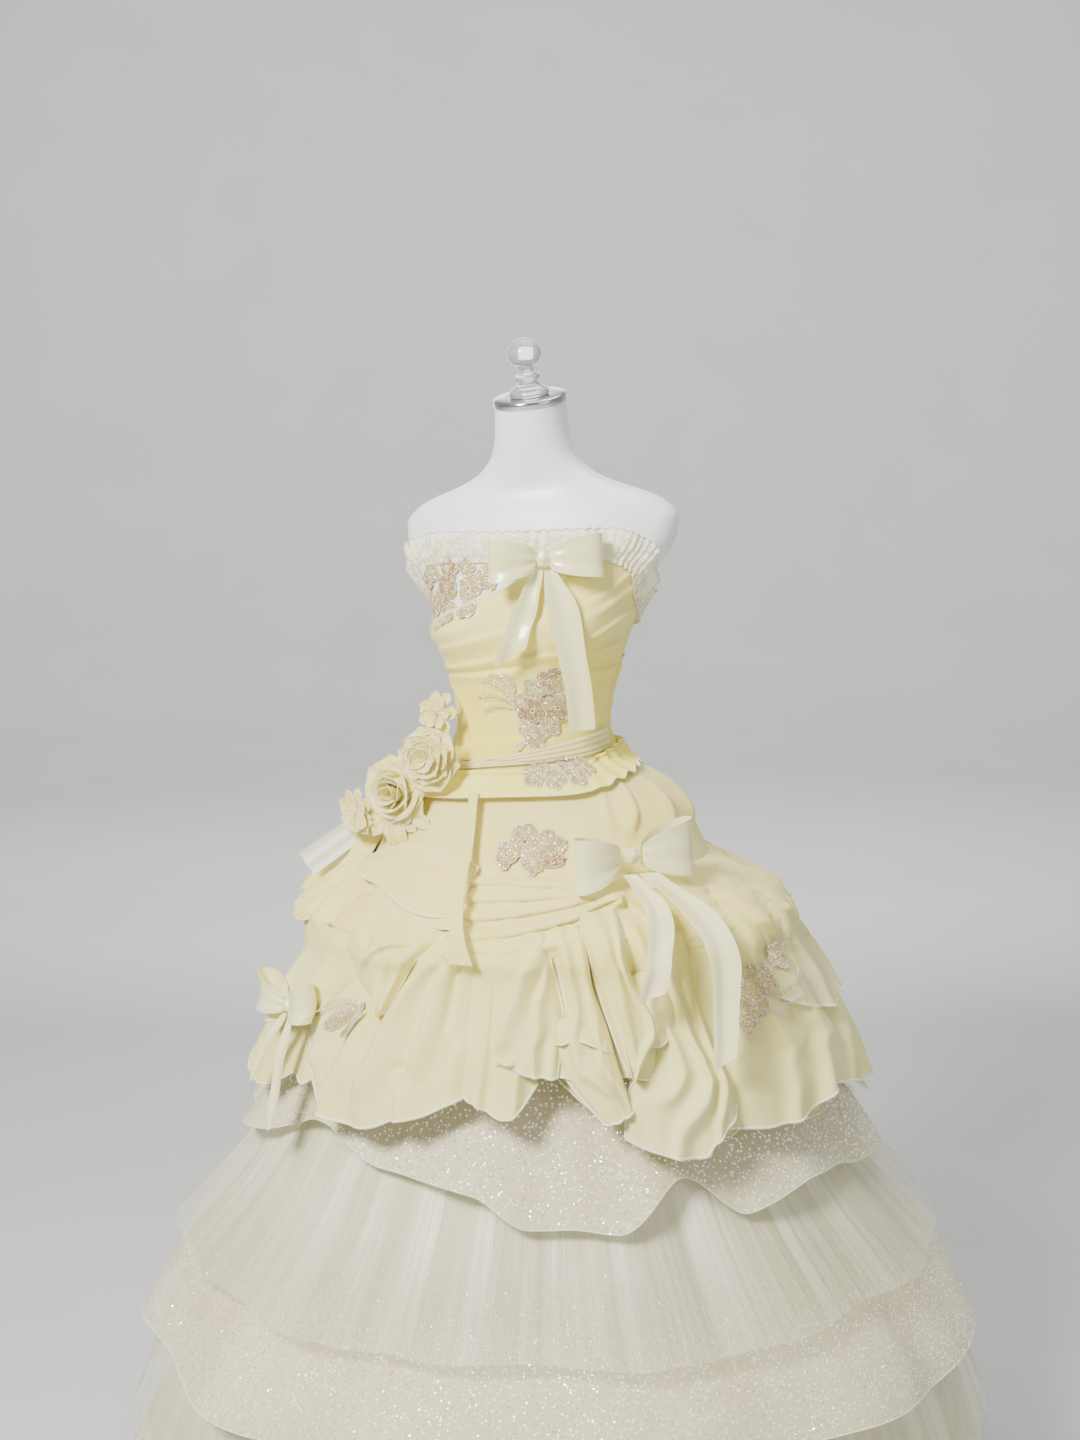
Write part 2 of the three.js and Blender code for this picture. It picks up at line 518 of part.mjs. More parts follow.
function addOverskirt() {
  const yoke = gridOf(0, 360, SKIRT_COLUMNS, 6, true, (angle, t) => {
    const z = mix(YOKE[0].z, YOKE[YOKE.length - 1].z, t);
    return onSkirt(angle, z, standOff(YOKE, angle, z));
  });
  addMesh('overskirt_yoke', wallGeometry(yoke, CHIFFON_WALL, true), 'overskirt');

  const flounce = gridOf(0, 360, SKIRT_COLUMNS * 2, 4, true, (angle, t) => {
    const z = mix(hemAt(FLOUNCE_HEM, angle), FLOUNCE_WAVE.top, t);
    return onSkirt(angle, z, flounceOut(angle, z));
  });
  addMesh('overskirt_flounce', wallGeometry(flounce, CHIFFON_WALL, true), 'overskirt');

  PICKUPS.forEach((piece) => {
    const columns = Math.round((piece.to - piece.from) / PICKUP_STEP);
    const grid = gridOf(piece.from, piece.to, columns, 3, false, (angle, t) => {
      const s = (angle - piece.from) / (piece.to - piece.from);
      const ends = mix(piece.start, piece.end, s);
      const z = mix(ends + (piece.middle - ends) * Math.sin(Math.PI * s), piece.top, t);
      const fold = piece.rise * (1 - t) * Math.sin(Math.PI * s * piece.folds) ** 2;
      return onSkirt(angle, z, standOff(piece.profile, angle, z) + fold);
    });
    addMesh(piece.name, wallGeometry(grid, CHIFFON_WALL, false), 'overskirt');
  });

  const flap = gridOf(FLAP.from, FLAP.to, FLAP.columns, FLAP.rows, false, (angle, t) => {
    const s = (angle - FLAP.from) / (FLAP.to - FLAP.from);
    const z = mix(mix(FLAP.bottom[0], FLAP.bottom[1], s), mix(FLAP.top[0], FLAP.top[1], s), t);
    const under = Math.max(standOff(YOKE, angle, z), standOff(PUFF, angle, z) + 4);
    return onSkirt(angle, z, under + FLAP.out);
  });
  addMesh('overskirt_flap', wallGeometry(flap, CHIFFON_WALL, false), 'overskirt');
}

// Bows, flowers and streamers.
function frameFacing(face, lean) {
  const frame = new THREE.Matrix4().makeRotationZ(face * RAD);
  return frame.multiply(new THREE.Matrix4().makeRotationX(-lean * RAD));
}

function strip(points, wall) {
  return wallGeometry(points, wall, false);
}

function addBows() {
  BOWS.forEach((bow) => {
    const frame = frameFacing(bow.face, 0).setPosition(bow.x, bow.y, bow.z);
    const place = (u, v, w) => new THREE.Vector3(u, -w, v).applyMatrix4(frame);
    const [across, up, deep] = bow.knot;
    const knot = new THREE.SphereGeometry(1, 10, 7).scale(across, deep, up).applyMatrix4(frame);
    addMesh(`${bow.name}_knot`, knot, 'satin');

    bow.loops.forEach(({ side, reach, tall, depth, lift }) => {
      const start = Math.sign(reach) * (across + 1);
      const grid = gridOf(0, 1, LOOP_STEPS, 2, false, (s, t) => {
        const swell = Math.sin(Math.PI * s);
        const u = start + (reach - start) * swell ** 2;
        const w = Math.sign(reach) * (depth * Math.sin(2 * Math.PI * s) + 2.4 * Math.cos(Math.PI * s));
        const high = mix(up * 0.8, tall, swell ** 0.8) * (t * 2 - 1);
        return place(u, high + u * Math.sin(lift * RAD) * Math.sign(reach), w);
      });
      addMesh(`${bow.name}_loop_${side}`, strip(grid, SATIN_WALL), 'satin');
    });

    bow.tails.forEach(({ side, path }) => {
      const rows = path.map((row, i) => ({ ...row, s: i / (path.length - 1) }));
      const grid = gridOf(0, 1, 2, TAIL_STEPS, false, (t, down) => {
        const s = 1 - down;
        const [u, v, w, wide] = ['u', 'v', 'w', 'wide'].map((key) => along(rows, 's', key, s));
        const curl = wide * 0.12 * Math.cos(Math.PI * 2 * t);
        return place(u + wide * (t * 2 - 1), v, w + curl);
      });
      addMesh(`${bow.name}_tail_${side}`, strip(grid, SATIN_WALL), 'satin');
    });
  });
}

// Distance from a point back along a direction to the cloth of the hip or midriff.
function backToCloth(from, direction) {
  const step = 0.5;
  for (let d = 0; ; d += step) {
    const { x, y, z } = from.clone().addScaledVector(direction, -d);
    const high = z >= WAIST_SEAM;
    const table = high ? FORM : UNDERSKIRT;
    const half = along(table, 'z', 'half', z);
    const middle = along(table, 'z', 'y', z);
    const depth = along(table, 'z', y < middle ? 'front' : 'back', z);
    const angle = Math.atan2(x / half, (middle - y) / depth) / RAD;
    const out = high ? BODY_FACE : HIP_FACE + standOff(YOKE, angle, z);
    if ((x / (half + out)) ** 2 + ((y - middle) / (depth + out)) ** 2 < 1) return d;
  }
}

function flowerGeometry({ radius, petals, cut, dome }, stem, wall) {
  const outline = (angle) => radius * (1 - cut + cut * Math.cos(angle * petals));
  const levels = [0.55, 1];
  const face = [new THREE.Vector3(0, 0, dome > 0 ? dome : 0)];
  levels.forEach((level) => {
    for (let i = 0; i < PETAL_COLUMNS; i += 1) {
      const angle = (i / PETAL_COLUMNS) * 2 * Math.PI;
      const r = outline(angle) * level;
      const height = dome > 0 ? dome * (1 - level * level) : -dome * level * level;
      face.push(new THREE.Vector3(r * Math.cos(angle), r * Math.sin(angle), height));
    }
  });
  const back = face.map((point) => point.clone().setZ(point.z - wall));
  back[0].z = Math.min(back[0].z, -stem);
  const index = [];
  const count = face.length;
  const id = (ring, i) => 1 + ring * PETAL_COLUMNS + (i % PETAL_COLUMNS);
  for (let i = 0; i < PETAL_COLUMNS; i += 1) {
    const triangles = [[0, id(0, i), id(0, i + 1)], [id(0, i), id(1, i), id(1, i + 1)],
      [id(0, i), id(1, i + 1), id(0, i + 1)]];
    triangles.forEach(([a, b, c]) => index.push(a, b, c, a + count, c + count, b + count));
    const [p, q] = [id(1, i), id(1, i + 1)];
    index.push(p, p + count, q + count, p, q + count, q);
  }
  const positions = [...face, ...back].flatMap((point) => point.toArray());
  const geometry = new THREE.BufferGeometry();
  geometry.setAttribute('position', new THREE.Float32BufferAttribute(positions, 3));
  geometry.setIndex(index);
  geometry.computeVertexNormals();
  return geometry;
}

function addFlowers() {
  FLOWERS.forEach((flower) => {
    const frame = frameFacing(flower.face, flower.lean);
    const outwards = new THREE.Vector3(0, -1, 0).applyMatrix4(frame);
    const centre = new THREE.Vector3(flower.x, flower.y, flower.z);
    const stem = backToCloth(centre, outwards) - flower.over;
    frame.setPosition(centre);
    const geometry = flowerGeometry(flower, stem, CHIFFON_WALL).rotateX(Math.PI / 2);
    geometry.applyMatrix4(frame);
    addMesh(flower.name, geometry, 'chiffon');
  });
}

function addStreamers() {
  STREAMERS.forEach(({ name, face, path }) => {
    const rows = path.map((row, i) => ({ ...row, s: i / (path.length - 1) }));
    const steps = (path.length - 1) * 2;
    const grid = gridOf(0, 1, 2, steps, false, (t, down) => {
      const s = 1 - down;
      const [x, y, z, wide] = ['x', 'y', 'z', 'wide'].map((key) => along(rows, 's', key, s));
      const lateral = wide * (t * 2 - 1);
      return new THREE.Vector3(x + lateral * Math.cos(face * RAD), y + lateral * Math.sin(face * RAD), z);
    });
    addMesh(name, strip(grid, SATIN_WALL), 'chiffon');
  });
}

addForm();
addBodice();
addDrapes();
addBands();
addSkirt();
addOverskirt();
addBows();
addFlowers();
addStreamers();

export default gown;
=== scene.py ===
import bpy
import math
import numpy as np
from math import pi
from mathutils import Matrix, Vector


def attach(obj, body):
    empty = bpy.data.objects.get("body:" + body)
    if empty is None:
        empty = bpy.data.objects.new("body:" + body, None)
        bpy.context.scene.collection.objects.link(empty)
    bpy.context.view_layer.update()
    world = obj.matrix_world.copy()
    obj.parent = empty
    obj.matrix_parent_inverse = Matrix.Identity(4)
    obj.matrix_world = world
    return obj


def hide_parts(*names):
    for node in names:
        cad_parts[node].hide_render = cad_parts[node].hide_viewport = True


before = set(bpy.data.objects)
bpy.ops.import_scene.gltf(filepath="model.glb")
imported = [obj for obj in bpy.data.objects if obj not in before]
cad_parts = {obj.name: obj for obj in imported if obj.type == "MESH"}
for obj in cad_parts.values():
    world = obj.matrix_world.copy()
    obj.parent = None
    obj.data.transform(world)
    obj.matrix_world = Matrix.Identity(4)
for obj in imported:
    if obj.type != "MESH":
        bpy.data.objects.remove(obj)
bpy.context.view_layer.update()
rad = pi / 180

# camera
cameraSet = {"lens": 40.75, "film": 36, "distance": 2.25, "height": 1.3526, "azimuth": 20, "pitch": 5.65,
             "roll": 1.146, "aside": -0.0017}
camera = bpy.data.objects.new("camera", bpy.data.cameras.new("camera"))
bpy.context.scene.collection.objects.link(camera)
camera.data.lens = cameraSet["lens"]
camera.data.sensor_fit = "VERTICAL"
camera.data.sensor_height = cameraSet["film"]
camera.data.shift_x = cameraSet["aside"]
turn = cameraSet["azimuth"] * rad
camera.matrix_world = (
    Matrix.Translation((cameraSet["distance"] * math.sin(turn), -cameraSet["distance"] * math.cos(turn),
                        cameraSet["height"]))
    @ Matrix.Rotation(turn, 4, "Z")
    @ Matrix.Rotation((90 - cameraSet["pitch"]) * rad, 4, "X")
    @ Matrix.Rotation(-cameraSet["roll"] * rad, 4, "Z"))
bpy.context.scene.camera = camera
print("camera placed")

# lamps: watts, size, place, the point each one faces, and colour
lightSet = {"lamps": {
    "key": (222, 0.9, (-0.7, -2.7, 3.0), (0, 0, 1.0), (1.0, 0.985, 0.96)),
    "fill": (27, 2.4, (3.2, -1.6, 1.6), (0, 0, 0.8), (0.95, 0.97, 1.0)),
    "top": (44, 2.0, (0.3, 0.2, 3.6), (0, 0, 1.0), (1, 1, 1)),
    "back": (40, 2.2, (-1.5, 3.2, 2.2), (0, 0, 0.9), (1, 1, 1)),
    "wall": (420, 6.0, (-1.5, 3.6, 4.6), (-3.4, 10.0, 2.4), (1, 1, 1))},
    "world": 0.46, "worldColour": (0.95, 0.95, 0.96), "floorColour": (0.66, 0.66, 0.65)}
for name, (energy, size, place, target, colour) in lightSet["lamps"].items():
    lamp = bpy.data.objects.new(name, bpy.data.lights.new(name, "AREA"))
    bpy.context.scene.collection.objects.link(lamp)
    lamp.data.energy, lamp.data.size, lamp.data.color = energy, size, colour
    lamp.location = place
    lamp.rotation_euler = (Vector(target) - Vector(place)).to_track_quat("-Z", "Y").to_euler()
world = bpy.data.worlds.new("studio")
bpy.context.scene.world = world
world.use_nodes = True
sky = world.node_tree.nodes["Background"].inputs
sky["Color"].default_value = (*lightSet["worldColour"], 1)
sky["Strength"].default_value = lightSet["world"]
print("lights placed")

# tables of points are in degrees and millimetres, and other sizes in metres; form and underskirt in
# sections: height, half width, depth before and behind, y of the middle
formRows = np.array([
    (870, 158, 112, 122, -22), (905, 163, 116, 129, -22), (950, 163, 116, 129, -24), (1000, 152, 109, 118, -27),
    (1050, 130, 98, 102, -31), (1090, 110, 88, 88, -34), (1130, 97, 82, 80, -35), (1165, 99, 83, 80, -34),
    (1200, 108, 87, 83, -30), (1240, 120, 94, 89, -25), (1270, 130, 99, 94, -20), (1300, 141, 101, 98, -15),
    (1335, 164, 98, 98, -7), (1372, 188, 88, 92, 2), (1405, 194, 78, 82, 7), (1425, 182, 70, 74, 7),
    (1440, 154, 63, 68, 5), (1453, 115, 58, 63, 1), (1470, 80, 55, 59, -5), (1494, 58, 53, 55, -12),
    (1528, 50, 50, 50, -18), (1562, 48, 49, 49, -22)]) / 1000
skirtRows = np.array([
    (18, 596, 554, 632, 0), (100, 568, 528, 602, 0), (180, 545, 507, 578, 0), (260, 536, 498, 568, 0),
    (330, 522, 485, 553, 0), (380, 499, 464, 529, 0), (445, 456, 424, 483, 0), (520, 408, 380, 432, 0),
    (600, 370, 344, 392, 0), (680, 325, 302, 345, 0), (760, 283, 264, 300, -2), (850, 240, 220, 252, -10),
    (950, 200, 172, 188, -22), (1000, 175, 140, 150, -27), (1050, 146, 110, 118, -31),
    (1090, 115, 93, 93, -34)]) / 1000
bust = {"angle": 36, "z": 1.262, "rise": 0.024, "spread": 25, "tall": 0.04}
bodice = {"out": 0.005, "drapeOut": 0.0099, "bodyFace": 0.0113, "hipFace": 0.0025, "waist": 1.09}

# edges that run round the body: angle from the front towards the wearer's left, and height
firstTierHem = np.array([
    (-180, 572), (-150, 592), (-120, 566), (-90, 598), (-68, 586), (-48, 606), (-27, 648), (-13, 616), (6, 606),
    (15, 572), (29, 568), (41, 616), (52, 564), (66, 584), (90, 560), (118, 566), (150, 590),
    (180, 572)]) / (1, 1000)
flounceHem = np.array([
    (-180, 646), (-150, 684), (-120, 640), (-92, 676), (-68, 684), (-48, 672), (-29, 700), (-10, 668), (3, 712),
    (11, 694), (17, 724), (28, 676), (33, 712), (42, 634), (49, 644), (56, 678), (68, 646), (84, 664), (106, 622),
    (130, 676), (156, 640), (180, 646)]) / (1, 1000)
neckline = np.array([(0, 1368), (35, 1370), (55, 1356), (75, 1318), (95, 1290), (130, 1280), (180, 1280)]) / (1, 1000)
drapeTop = np.array([
    (-90, 1222), (-70, 1234), (-45, 1266), (-20, 1296), (0, 1316), (15, 1340), (30, 1352), (60, 1336),
    (90, 1278)]) / (1, 1000)
bandMiddle = np.array([
    (-180, 1090), (-90, 1066), (-40, 1058), (0, 1062), (30, 1064), (68, 1086), (100, 1096),
    (180, 1090)]) / (1, 1000)

# how far layers stand off the underskirt: height, at the sides, and at the front and back
yokeRows = np.array([
    (902, 82, 50), (920, 62, 37), (950, 37, 22), (985, 40, 14), (1020, 48, 8), (1050, 40, 4), (1070, 26, 3),
    (1088, 3, 2.4)]) / 1000
flounceRows = np.array([
    (620, 75, 76), (660, 80, 78), (700, 86, 80), (740, 83, 78), (770, 80, 76), (800, 80, 74), (830, 76, 70),
    (880, 44, 40), (922, 4, 4)]) / 1000
puffRows = np.array([
    (850, 94, 88), (868, 106, 98), (885, 108, 98), (905, 96, 78), (930, 66, 48), (955, 44, 28),
    (975, 46, 22)]) / 1000
# the cloth that lies over the flounce and the yoke
overRows = np.array([
    (620, 82, 81), (660, 87, 84), (700, 93, 88), (740, 93, 88), (770, 91, 87), (800, 90, 86), (835, 90, 87),
    (850, 95, 90), (868, 106, 98), (885, 108, 97), (905, 96, 78), (930, 66, 48), (955, 45, 29), (985, 43, 18),
    (1020, 50, 10), (1050, 42, 6), (1088, 5, 4)]) / 1000


# smooth value of one column of a table at x
def along(rows, column, x):
    table = np.array(rows, dtype=float)
    xs, ys = table[:, 0], table[:, column]
    h = np.diff(xs)
    slope = np.diff(ys) / h
    tangent = np.empty(len(xs))
    tangent[0], tangent[-1] = slope[0], slope[-1]
    product = slope[:-1] * slope[1:]
    total = slope[:-1] + slope[1:]
    tangent[1:-1] = np.where(product > 0, 2 * product / np.where(product > 0, total, 1), 0)
    x = np.clip(np.asarray(x, dtype=float), xs[0], xs[-1])
    k = np.clip(np.searchsorted(xs, x, side="right") - 1, 0, len(h) - 1)
    t = (x - xs[k]) / h[k]
    cubic = ys[k] * (2 * t**3 - 3 * t * t + 1) + ys[k + 1] * (3 * t * t - 2 * t**3)
    return cubic + h[k] * (tangent[k] * (t**3 - 2 * t * t + t) + tangent[k + 1] * (t**3 - t * t))


def mix(a, b, t):
    return a + (b - a) * t


def smooth(low, high, x):
    t = np.clip((x - low) / (high - low), 0, 1)
    return t * t * (3 - 2 * t)


def wrap(angle):
    return (np.asarray(angle, dtype=float) + 540) % 360 - 180


def bell(x, wide):
    return np.exp(-(x / wide) ** 2)


def onSection(rows, angle, z, out):
    c, s = np.cos(angle * rad), np.sin(angle * rad)
    half = along(rows, 1, z) + out
    depth = np.where(c > 0, along(rows, 2, z), along(rows, 3, z)) + out
    return np.stack([half * s, along(rows, 4, z) - depth * c, z + 0 * s], axis=-1)


def onForm(angle, z, out):
    high = bell(z - bust["z"], bust["tall"])
    near = bell(wrap(angle) - bust["angle"], bust["spread"]) + bell(wrap(angle) + bust["angle"], bust["spread"])
    return onSection(formRows, angle, z, out + bust["rise"] * high * near)


def onSkirt(angle, z, out):
    return onSection(skirtRows, angle, z, out)


def standOff(rows, angle, z):
    side = np.sin(angle * rad) ** 2
    return mix(along(rows, 2, z), along(rows, 1, z), side)


# point on the dressed body: on the drape above the waist, on the yoke below it
def overHip(angle, z, out):
    above = onForm(angle, z, bodice["bodyFace"] + out)
    below = onSkirt(angle, z, standOff(yokeRows, angle, z) + bodice["hipFace"] + out)
    return np.where((z >= bodice["waist"])[..., None], above, below)


# slow random swell, the same on every run
def swell(seed, x, y, scale):
    chance = np.random.default_rng(seed)
    total = 0
    for k in range(6):
        direction = chance.uniform(0, 2 * pi)
        size = scale * chance.uniform(0.6, 1.6)
        phase = chance.uniform(0, 2 * pi)
        total = total + np.sin((x * math.cos(direction) + y * math.sin(direction)) / size * 2 * pi + phase)
    return total / 6


# rounded line through points, evenly spaced
def smoothLine(points, count):
    p = np.array(points, dtype=float)
    if len(p) == 2:
        return p[0] + (p[1] - p[0]) * np.linspace(0, 1, count)[:, None]
    ends = np.vstack([2 * p[0] - p[1], p, 2 * p[-1] - p[-2]])
    t = np.linspace(0, 1, 24, endpoint=False)[:, None]
    dense = []
    for a, b, c, d in zip(ends, ends[1:], ends[2:], ends[3:]):
        dense.append(0.5 * (2 * b + (c - a) * t + (2 * a - 5 * b + 4 * c - d) * t**2
                            + (3 * b - a - 3 * c + d) * t**3))
    dense = np.vstack([*dense, p[-1:]])
    reach = np.concatenate([[0], np.cumsum(np.linalg.norm(np.diff(dense, axis=0), axis=1))])
    at = np.linspace(0, reach[-1], count)
    return np.stack([np.interp(at, reach, dense[:, i]) for i in range(p.shape[1])], axis=-1)


# heights of given folds; each is (points, width on its left, on its right, height, how much is kept
# at its start and at its end)
def foldField(x, y, folds):
    total = np.zeros(np.broadcast(x, y).shape)
    for points, leftWide, rightWide, high, startKeep, endKeep in folds:
        line = np.array(points, dtype=float)
        step = np.diff(line, axis=0)
        length = np.linalg.norm(step, axis=1)
        before = np.concatenate([[0], np.cumsum(length)])
        best = np.full(total.shape, 1e9)
        side = np.zeros(total.shape)
        at = np.zeros(total.shape)
        for k in range(len(step)):
            dx, dy = x - line[k, 0], y - line[k, 1]
            t = np.clip((dx * step[k, 0] + dy * step[k, 1]) / max(length[k] ** 2, 1e-12), 0, 1)
            px, py = dx - t * step[k, 0], dy - t * step[k, 1]
            gap = np.hypot(px, py)
            closer = gap < best
            best = np.where(closer, gap, best)
            side = np.where(closer, np.sign(step[k, 0] * py - step[k, 1] * px), side)
            at = np.where(closer, (before[k] + t * length[k]) / before[-1], at)
        wide = np.where(side > 0, leftWide, rightWide)
        fade = (1 - (1 - startKeep) * bell(at, 0.16)) * (1 - (1 - endKeep) * bell(1 - at, 0.16))
        total += high * fade * bell(best, wide)
    return total


# folds from degrees and millimetres to metres of cloth, and made higher
def drawn(folds, metre, high=1):
    return [([(p * metre, q / 1000) for p, q in line], near / 1000, far / 1000, h / 1000 * high, *keep)
            for line, near, far, h, *keep in folds]


def unit(vectors, tiny=0.0):
    return vectors / (np.linalg.norm(vectors, axis=-1, keepdims=True) + tiny)


# a shape gathers grids, tubes and facets before it becomes one mesh
def newShape():
    return {"verts": [], "faces": [], "uvs": [], "slots": [], "count": 0}


def addFaces(shape, points, faces, uvs, slot):
    shape["verts"].append(np.asarray(points, dtype=float).reshape(-1, 3))
    shape["uvs"].append(np.asarray(uvs, dtype=float).reshape(-1, 2))
    shape["faces"].append(np.asarray(faces) + shape["count"])
    shape["slots"].append(np.full(len(faces), slot))
    shape["count"] += shape["verts"][-1].shape[0]


# grid of points (columns, rows, 3); its map is the cloth's own length and height in metres
def addGrid(shape, points, slot=0, ring=False, turned=False):
    columns, rows = points.shape[:2]
    across = np.linalg.norm(np.diff(points, axis=0), axis=2).mean(axis=1)
    up = np.linalg.norm(np.diff(points, axis=1), axis=2).mean(axis=0)
    u = np.concatenate([[0], np.cumsum(across)])[:, None] + np.zeros((1, rows))
    v = np.concatenate([[0], np.cumsum(up)])[None, :] + np.zeros((columns, 1))
    i, j = np.meshgrid(np.arange(columns - 1), np.arange(rows - 1), indexing="ij")
    a, b = i * rows + j, (i + 1) * rows + j
    quads = np.stack([a, a + 1, b + 1, b] if turned else [a, b, b + 1, a + 1], axis=-1)
    if ring:
        points = points.copy()
        points[-1] = points[0]
    addFaces(shape, points, quads.reshape(-1, 4), np.stack([u, v], axis=-1), slot)


# points round each centre
def around(centres, first, second, radius, turnBy):
    return centres[:, None] + radius * (first[:, None] * np.cos(turnBy)[None, :, None]
                                        + second[:, None] * np.sin(turnBy)[None, :, None])


def addTube(shape, path, radius, sides=6, slot=1, closed=False):
    path = np.asarray(path, dtype=float)
    tangent = np.roll(path, -1, axis=0) - np.roll(path, 1, axis=0) if closed else np.gradient(path, axis=0)
    tangent = unit(tangent, 1e-12)
    guide = np.tile(np.array([0.0, 0.0, 1.0]), (len(path), 1))
    guide[np.abs(tangent[:, 2]) > 0.9] = (1, 0, 0)
    first = unit(np.cross(tangent, guide))
    turnBy = np.arange(sides) / sides * 2 * pi
    points = around(path, first, np.cross(tangent, first), radius, turnBy)
    count = len(path)
    i, k = np.meshgrid(np.arange(count if closed else count - 1), np.arange(sides), indexing="ij")
    nextRow, nextSide = (i + 1) % count, (k + 1) % sides
    quads = np.stack([i * sides + k, i * sides + nextSide, nextRow * sides + nextSide, nextRow * sides + k], axis=-1)
    reach = np.concatenate([[0], np.cumsum(np.linalg.norm(np.diff(path, axis=0), axis=1))])
    uvs = np.stack([np.tile(reach[:, None], (1, sides)), np.tile(turnBy[None], (count, 1)) * 0.001], axis=-1)
    addFaces(shape, points, quads.reshape(-1, 4), uvs, slot)


# small facets, each turned its own way: flat where they have four sides, domed where they have more
def addFacets(shape, centres, normals, size, sides, slot, seed, tilt=0.5, height=0.0):
    chance = np.random.default_rng(seed)
    n = len(centres)
    normals = unit(normals + chance.normal(0, tilt, (n, 3)))
    first = unit(np.cross(normals, chance.normal(0, 1, (n, 3))))
    radius = size * chance.uniform(0.7, 1.3, n)[:, None, None]
    rim = around(centres, first, np.cross(normals, first), radius, np.arange(sides) / sides * 2 * pi)
    if sides == 4:
        square = np.array([[0, 0], [1, 0], [1, 1], [0, 1]])
        addFaces(shape, rim, np.arange(n * 4).reshape(-1, 4), np.tile(square, (n, 1)), slot)
        return
    top = centres + normals * height
    points = np.concatenate([rim, top[:, None]], axis=1)
    k = np.arange(sides)
    one = np.stack([k, (k + 1) % sides, np.full(sides, sides), np.full(sides, sides)], axis=-1)
    faces = (np.arange(n)[:, None, None] * (sides + 1) + one[None]).reshape(-1, 4)
    addFaces(shape, points, faces, np.zeros((n * (sides + 1), 2)), slot)


# one mesh from a shape; used names its materials in the order of the slots
def finishShape(shape, name, used, replaced=()):
    verts, faces, uvs, slots = (np.concatenate(shape[key]) for key in ("verts", "faces", "uvs", "slots"))
    polygons = [tuple(dict.fromkeys(f)) for f in faces.tolist()]
    mesh = bpy.data.meshes.new(name)
    mesh.from_pydata(verts.tolist(), [], polygons)
    for key in used:
        mesh.materials.append(materials[key])
    mesh.polygons.foreach_set("material_index", slots.astype(np.int32))
    mesh.polygons.foreach_set("use_smooth", np.full(len(polygons), True))
    layer = mesh.uv_layers.new(name="UVMap")
    index = np.empty(len(mesh.loops), dtype=np.int32)
    mesh.loops.foreach_get("vertex_index", index)
    layer.data.foreach_set("uv", uvs[index].astype(np.float32).ravel())
    mesh.update()
    piece = bpy.data.objects.new(name, mesh)
    bpy.context.scene.collection.objects.link(piece)
    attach(piece, "root")
    if replaced:
        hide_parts(*replaced)
    return piece


# width and length of the cloth that grids are cut from
def cutSize(*grids):
    wide = max(float(np.linalg.norm(np.diff(g, axis=0), axis=2).sum(axis=0).mean()) for g in grids)
    area = 0.0
    for g in grids:
        a, b = g[1:, :-1] - g[:-1, :-1], g[:-1, 1:] - g[:-1, :-1]
        area += float(np.linalg.norm(np.cross(a, b), axis=-1).sum())
    return (round(wide, 4), round(area / wide, 4))


# node groups shared by the materials; a group's sockets are colours where their first value is a colour
white = (1, 1, 1, 1)


def newGroup(name, inputs, outputs):
    group = bpy.data.node_groups.new(name, "ShaderNodeTree")
    for label, value in inputs.items():
        kind = "NodeSocketColor" if isinstance(value, tuple) else "NodeSocketFloat"
        socket = group.interface.new_socket(name=label, in_out="INPUT", socket_type=kind)
        socket.default_value = value
    for label, kind in outputs.items():
        group.interface.new_socket(name=label, in_out="OUTPUT", socket_type=f"NodeSocket{kind}")
    return group, group.nodes.new("NodeGroupInput").outputs, group.nodes.new("NodeGroupOutput").inputs


# a node with its settings; i0, i1 and so on are its inputs by number
def put(tree, kind, settings=None, **links):
    node = tree.nodes.new(kind)
    for key, value in (settings or {}).items():
        setattr(node, key, value)
    for key, value in links.items():
        socket = node.inputs[int(key[1:])] if key[0] == "i" and key[1:].isdigit() else node.inputs[key]
        if isinstance(value, bpy.types.NodeSocket):
            tree.links.new(value, socket)
        else:
            socket.default_value = value
    return node


def maths(tree, operation, a, b=0.0, c=None):
    extra = {} if c is None else {"i2": c}
    return put(tree, "ShaderNodeMath", {"operation": operation}, i0=a, i1=b, **extra).outputs[0]


def ranged(tree, value, start, end, low=0.0, high=1.0, kind="LINEAR"):
    return put(tree, "ShaderNodeMapRange", {"interpolation_type": kind}, i0=value, i1=start, i2=end, i3=low,
               i4=high).outputs[0]


def blended(tree, amount, first, second):
    return put(tree, "ShaderNodeMix", {"data_type": "RGBA"}, i0=amount, i6=first, i7=second).outputs[2]


def noise(tree, place, scale, detail, **other):
    return put(tree, "ShaderNodeTexNoise", Vector=place, Scale=scale, Detail=detail, **other).outputs[0]


def vectorMaths(tree, operation, a, **other):
    return put(tree, "ShaderNodeVectorMath", {"operation": operation}, i0=a, **other).outputs[0]


def feed(tree, sockets, **values):
    for label, value in values.items():
        tree.links.new(value, sockets[label.replace("_", " ")])


def buildTone():
    # two colours mottled together, with a warmer or cooler band between two heights
    group, given, back = newGroup("soft tone", {
        "Colour A": white, "Colour B": white, "Band Colour": white, "Band Low": 0.0, "Band High": 0.1,
        "Band Amount": 0.0, "Scale": 8.0}, {"Colour": "Color", "Tone": "Float"})
    place = put(group, "ShaderNodeTexCoord").outputs["Object"]
    cloud = noise(group, place, given["Scale"], 4.0)
    tone = ranged(group, cloud, 0.32, 0.68, kind="SMOOTHSTEP")
    mottled = blended(group, tone, given["Colour A"], given["Colour B"])
    height = put(group, "ShaderNodeSeparateXYZ", i0=place).outputs[2]
    wobble = maths(group, "MULTIPLY_ADD", cloud, 0.05, height)
    band = ranged(group, wobble, given["Band Low"], given["Band High"], kind="SMOOTHSTEP")
    amount = maths(group, "MULTIPLY", band, given["Band Amount"])
    feed(group, back, Colour=blended(group, amount, mottled, given["Band Colour"]), Tone=tone)
    return group


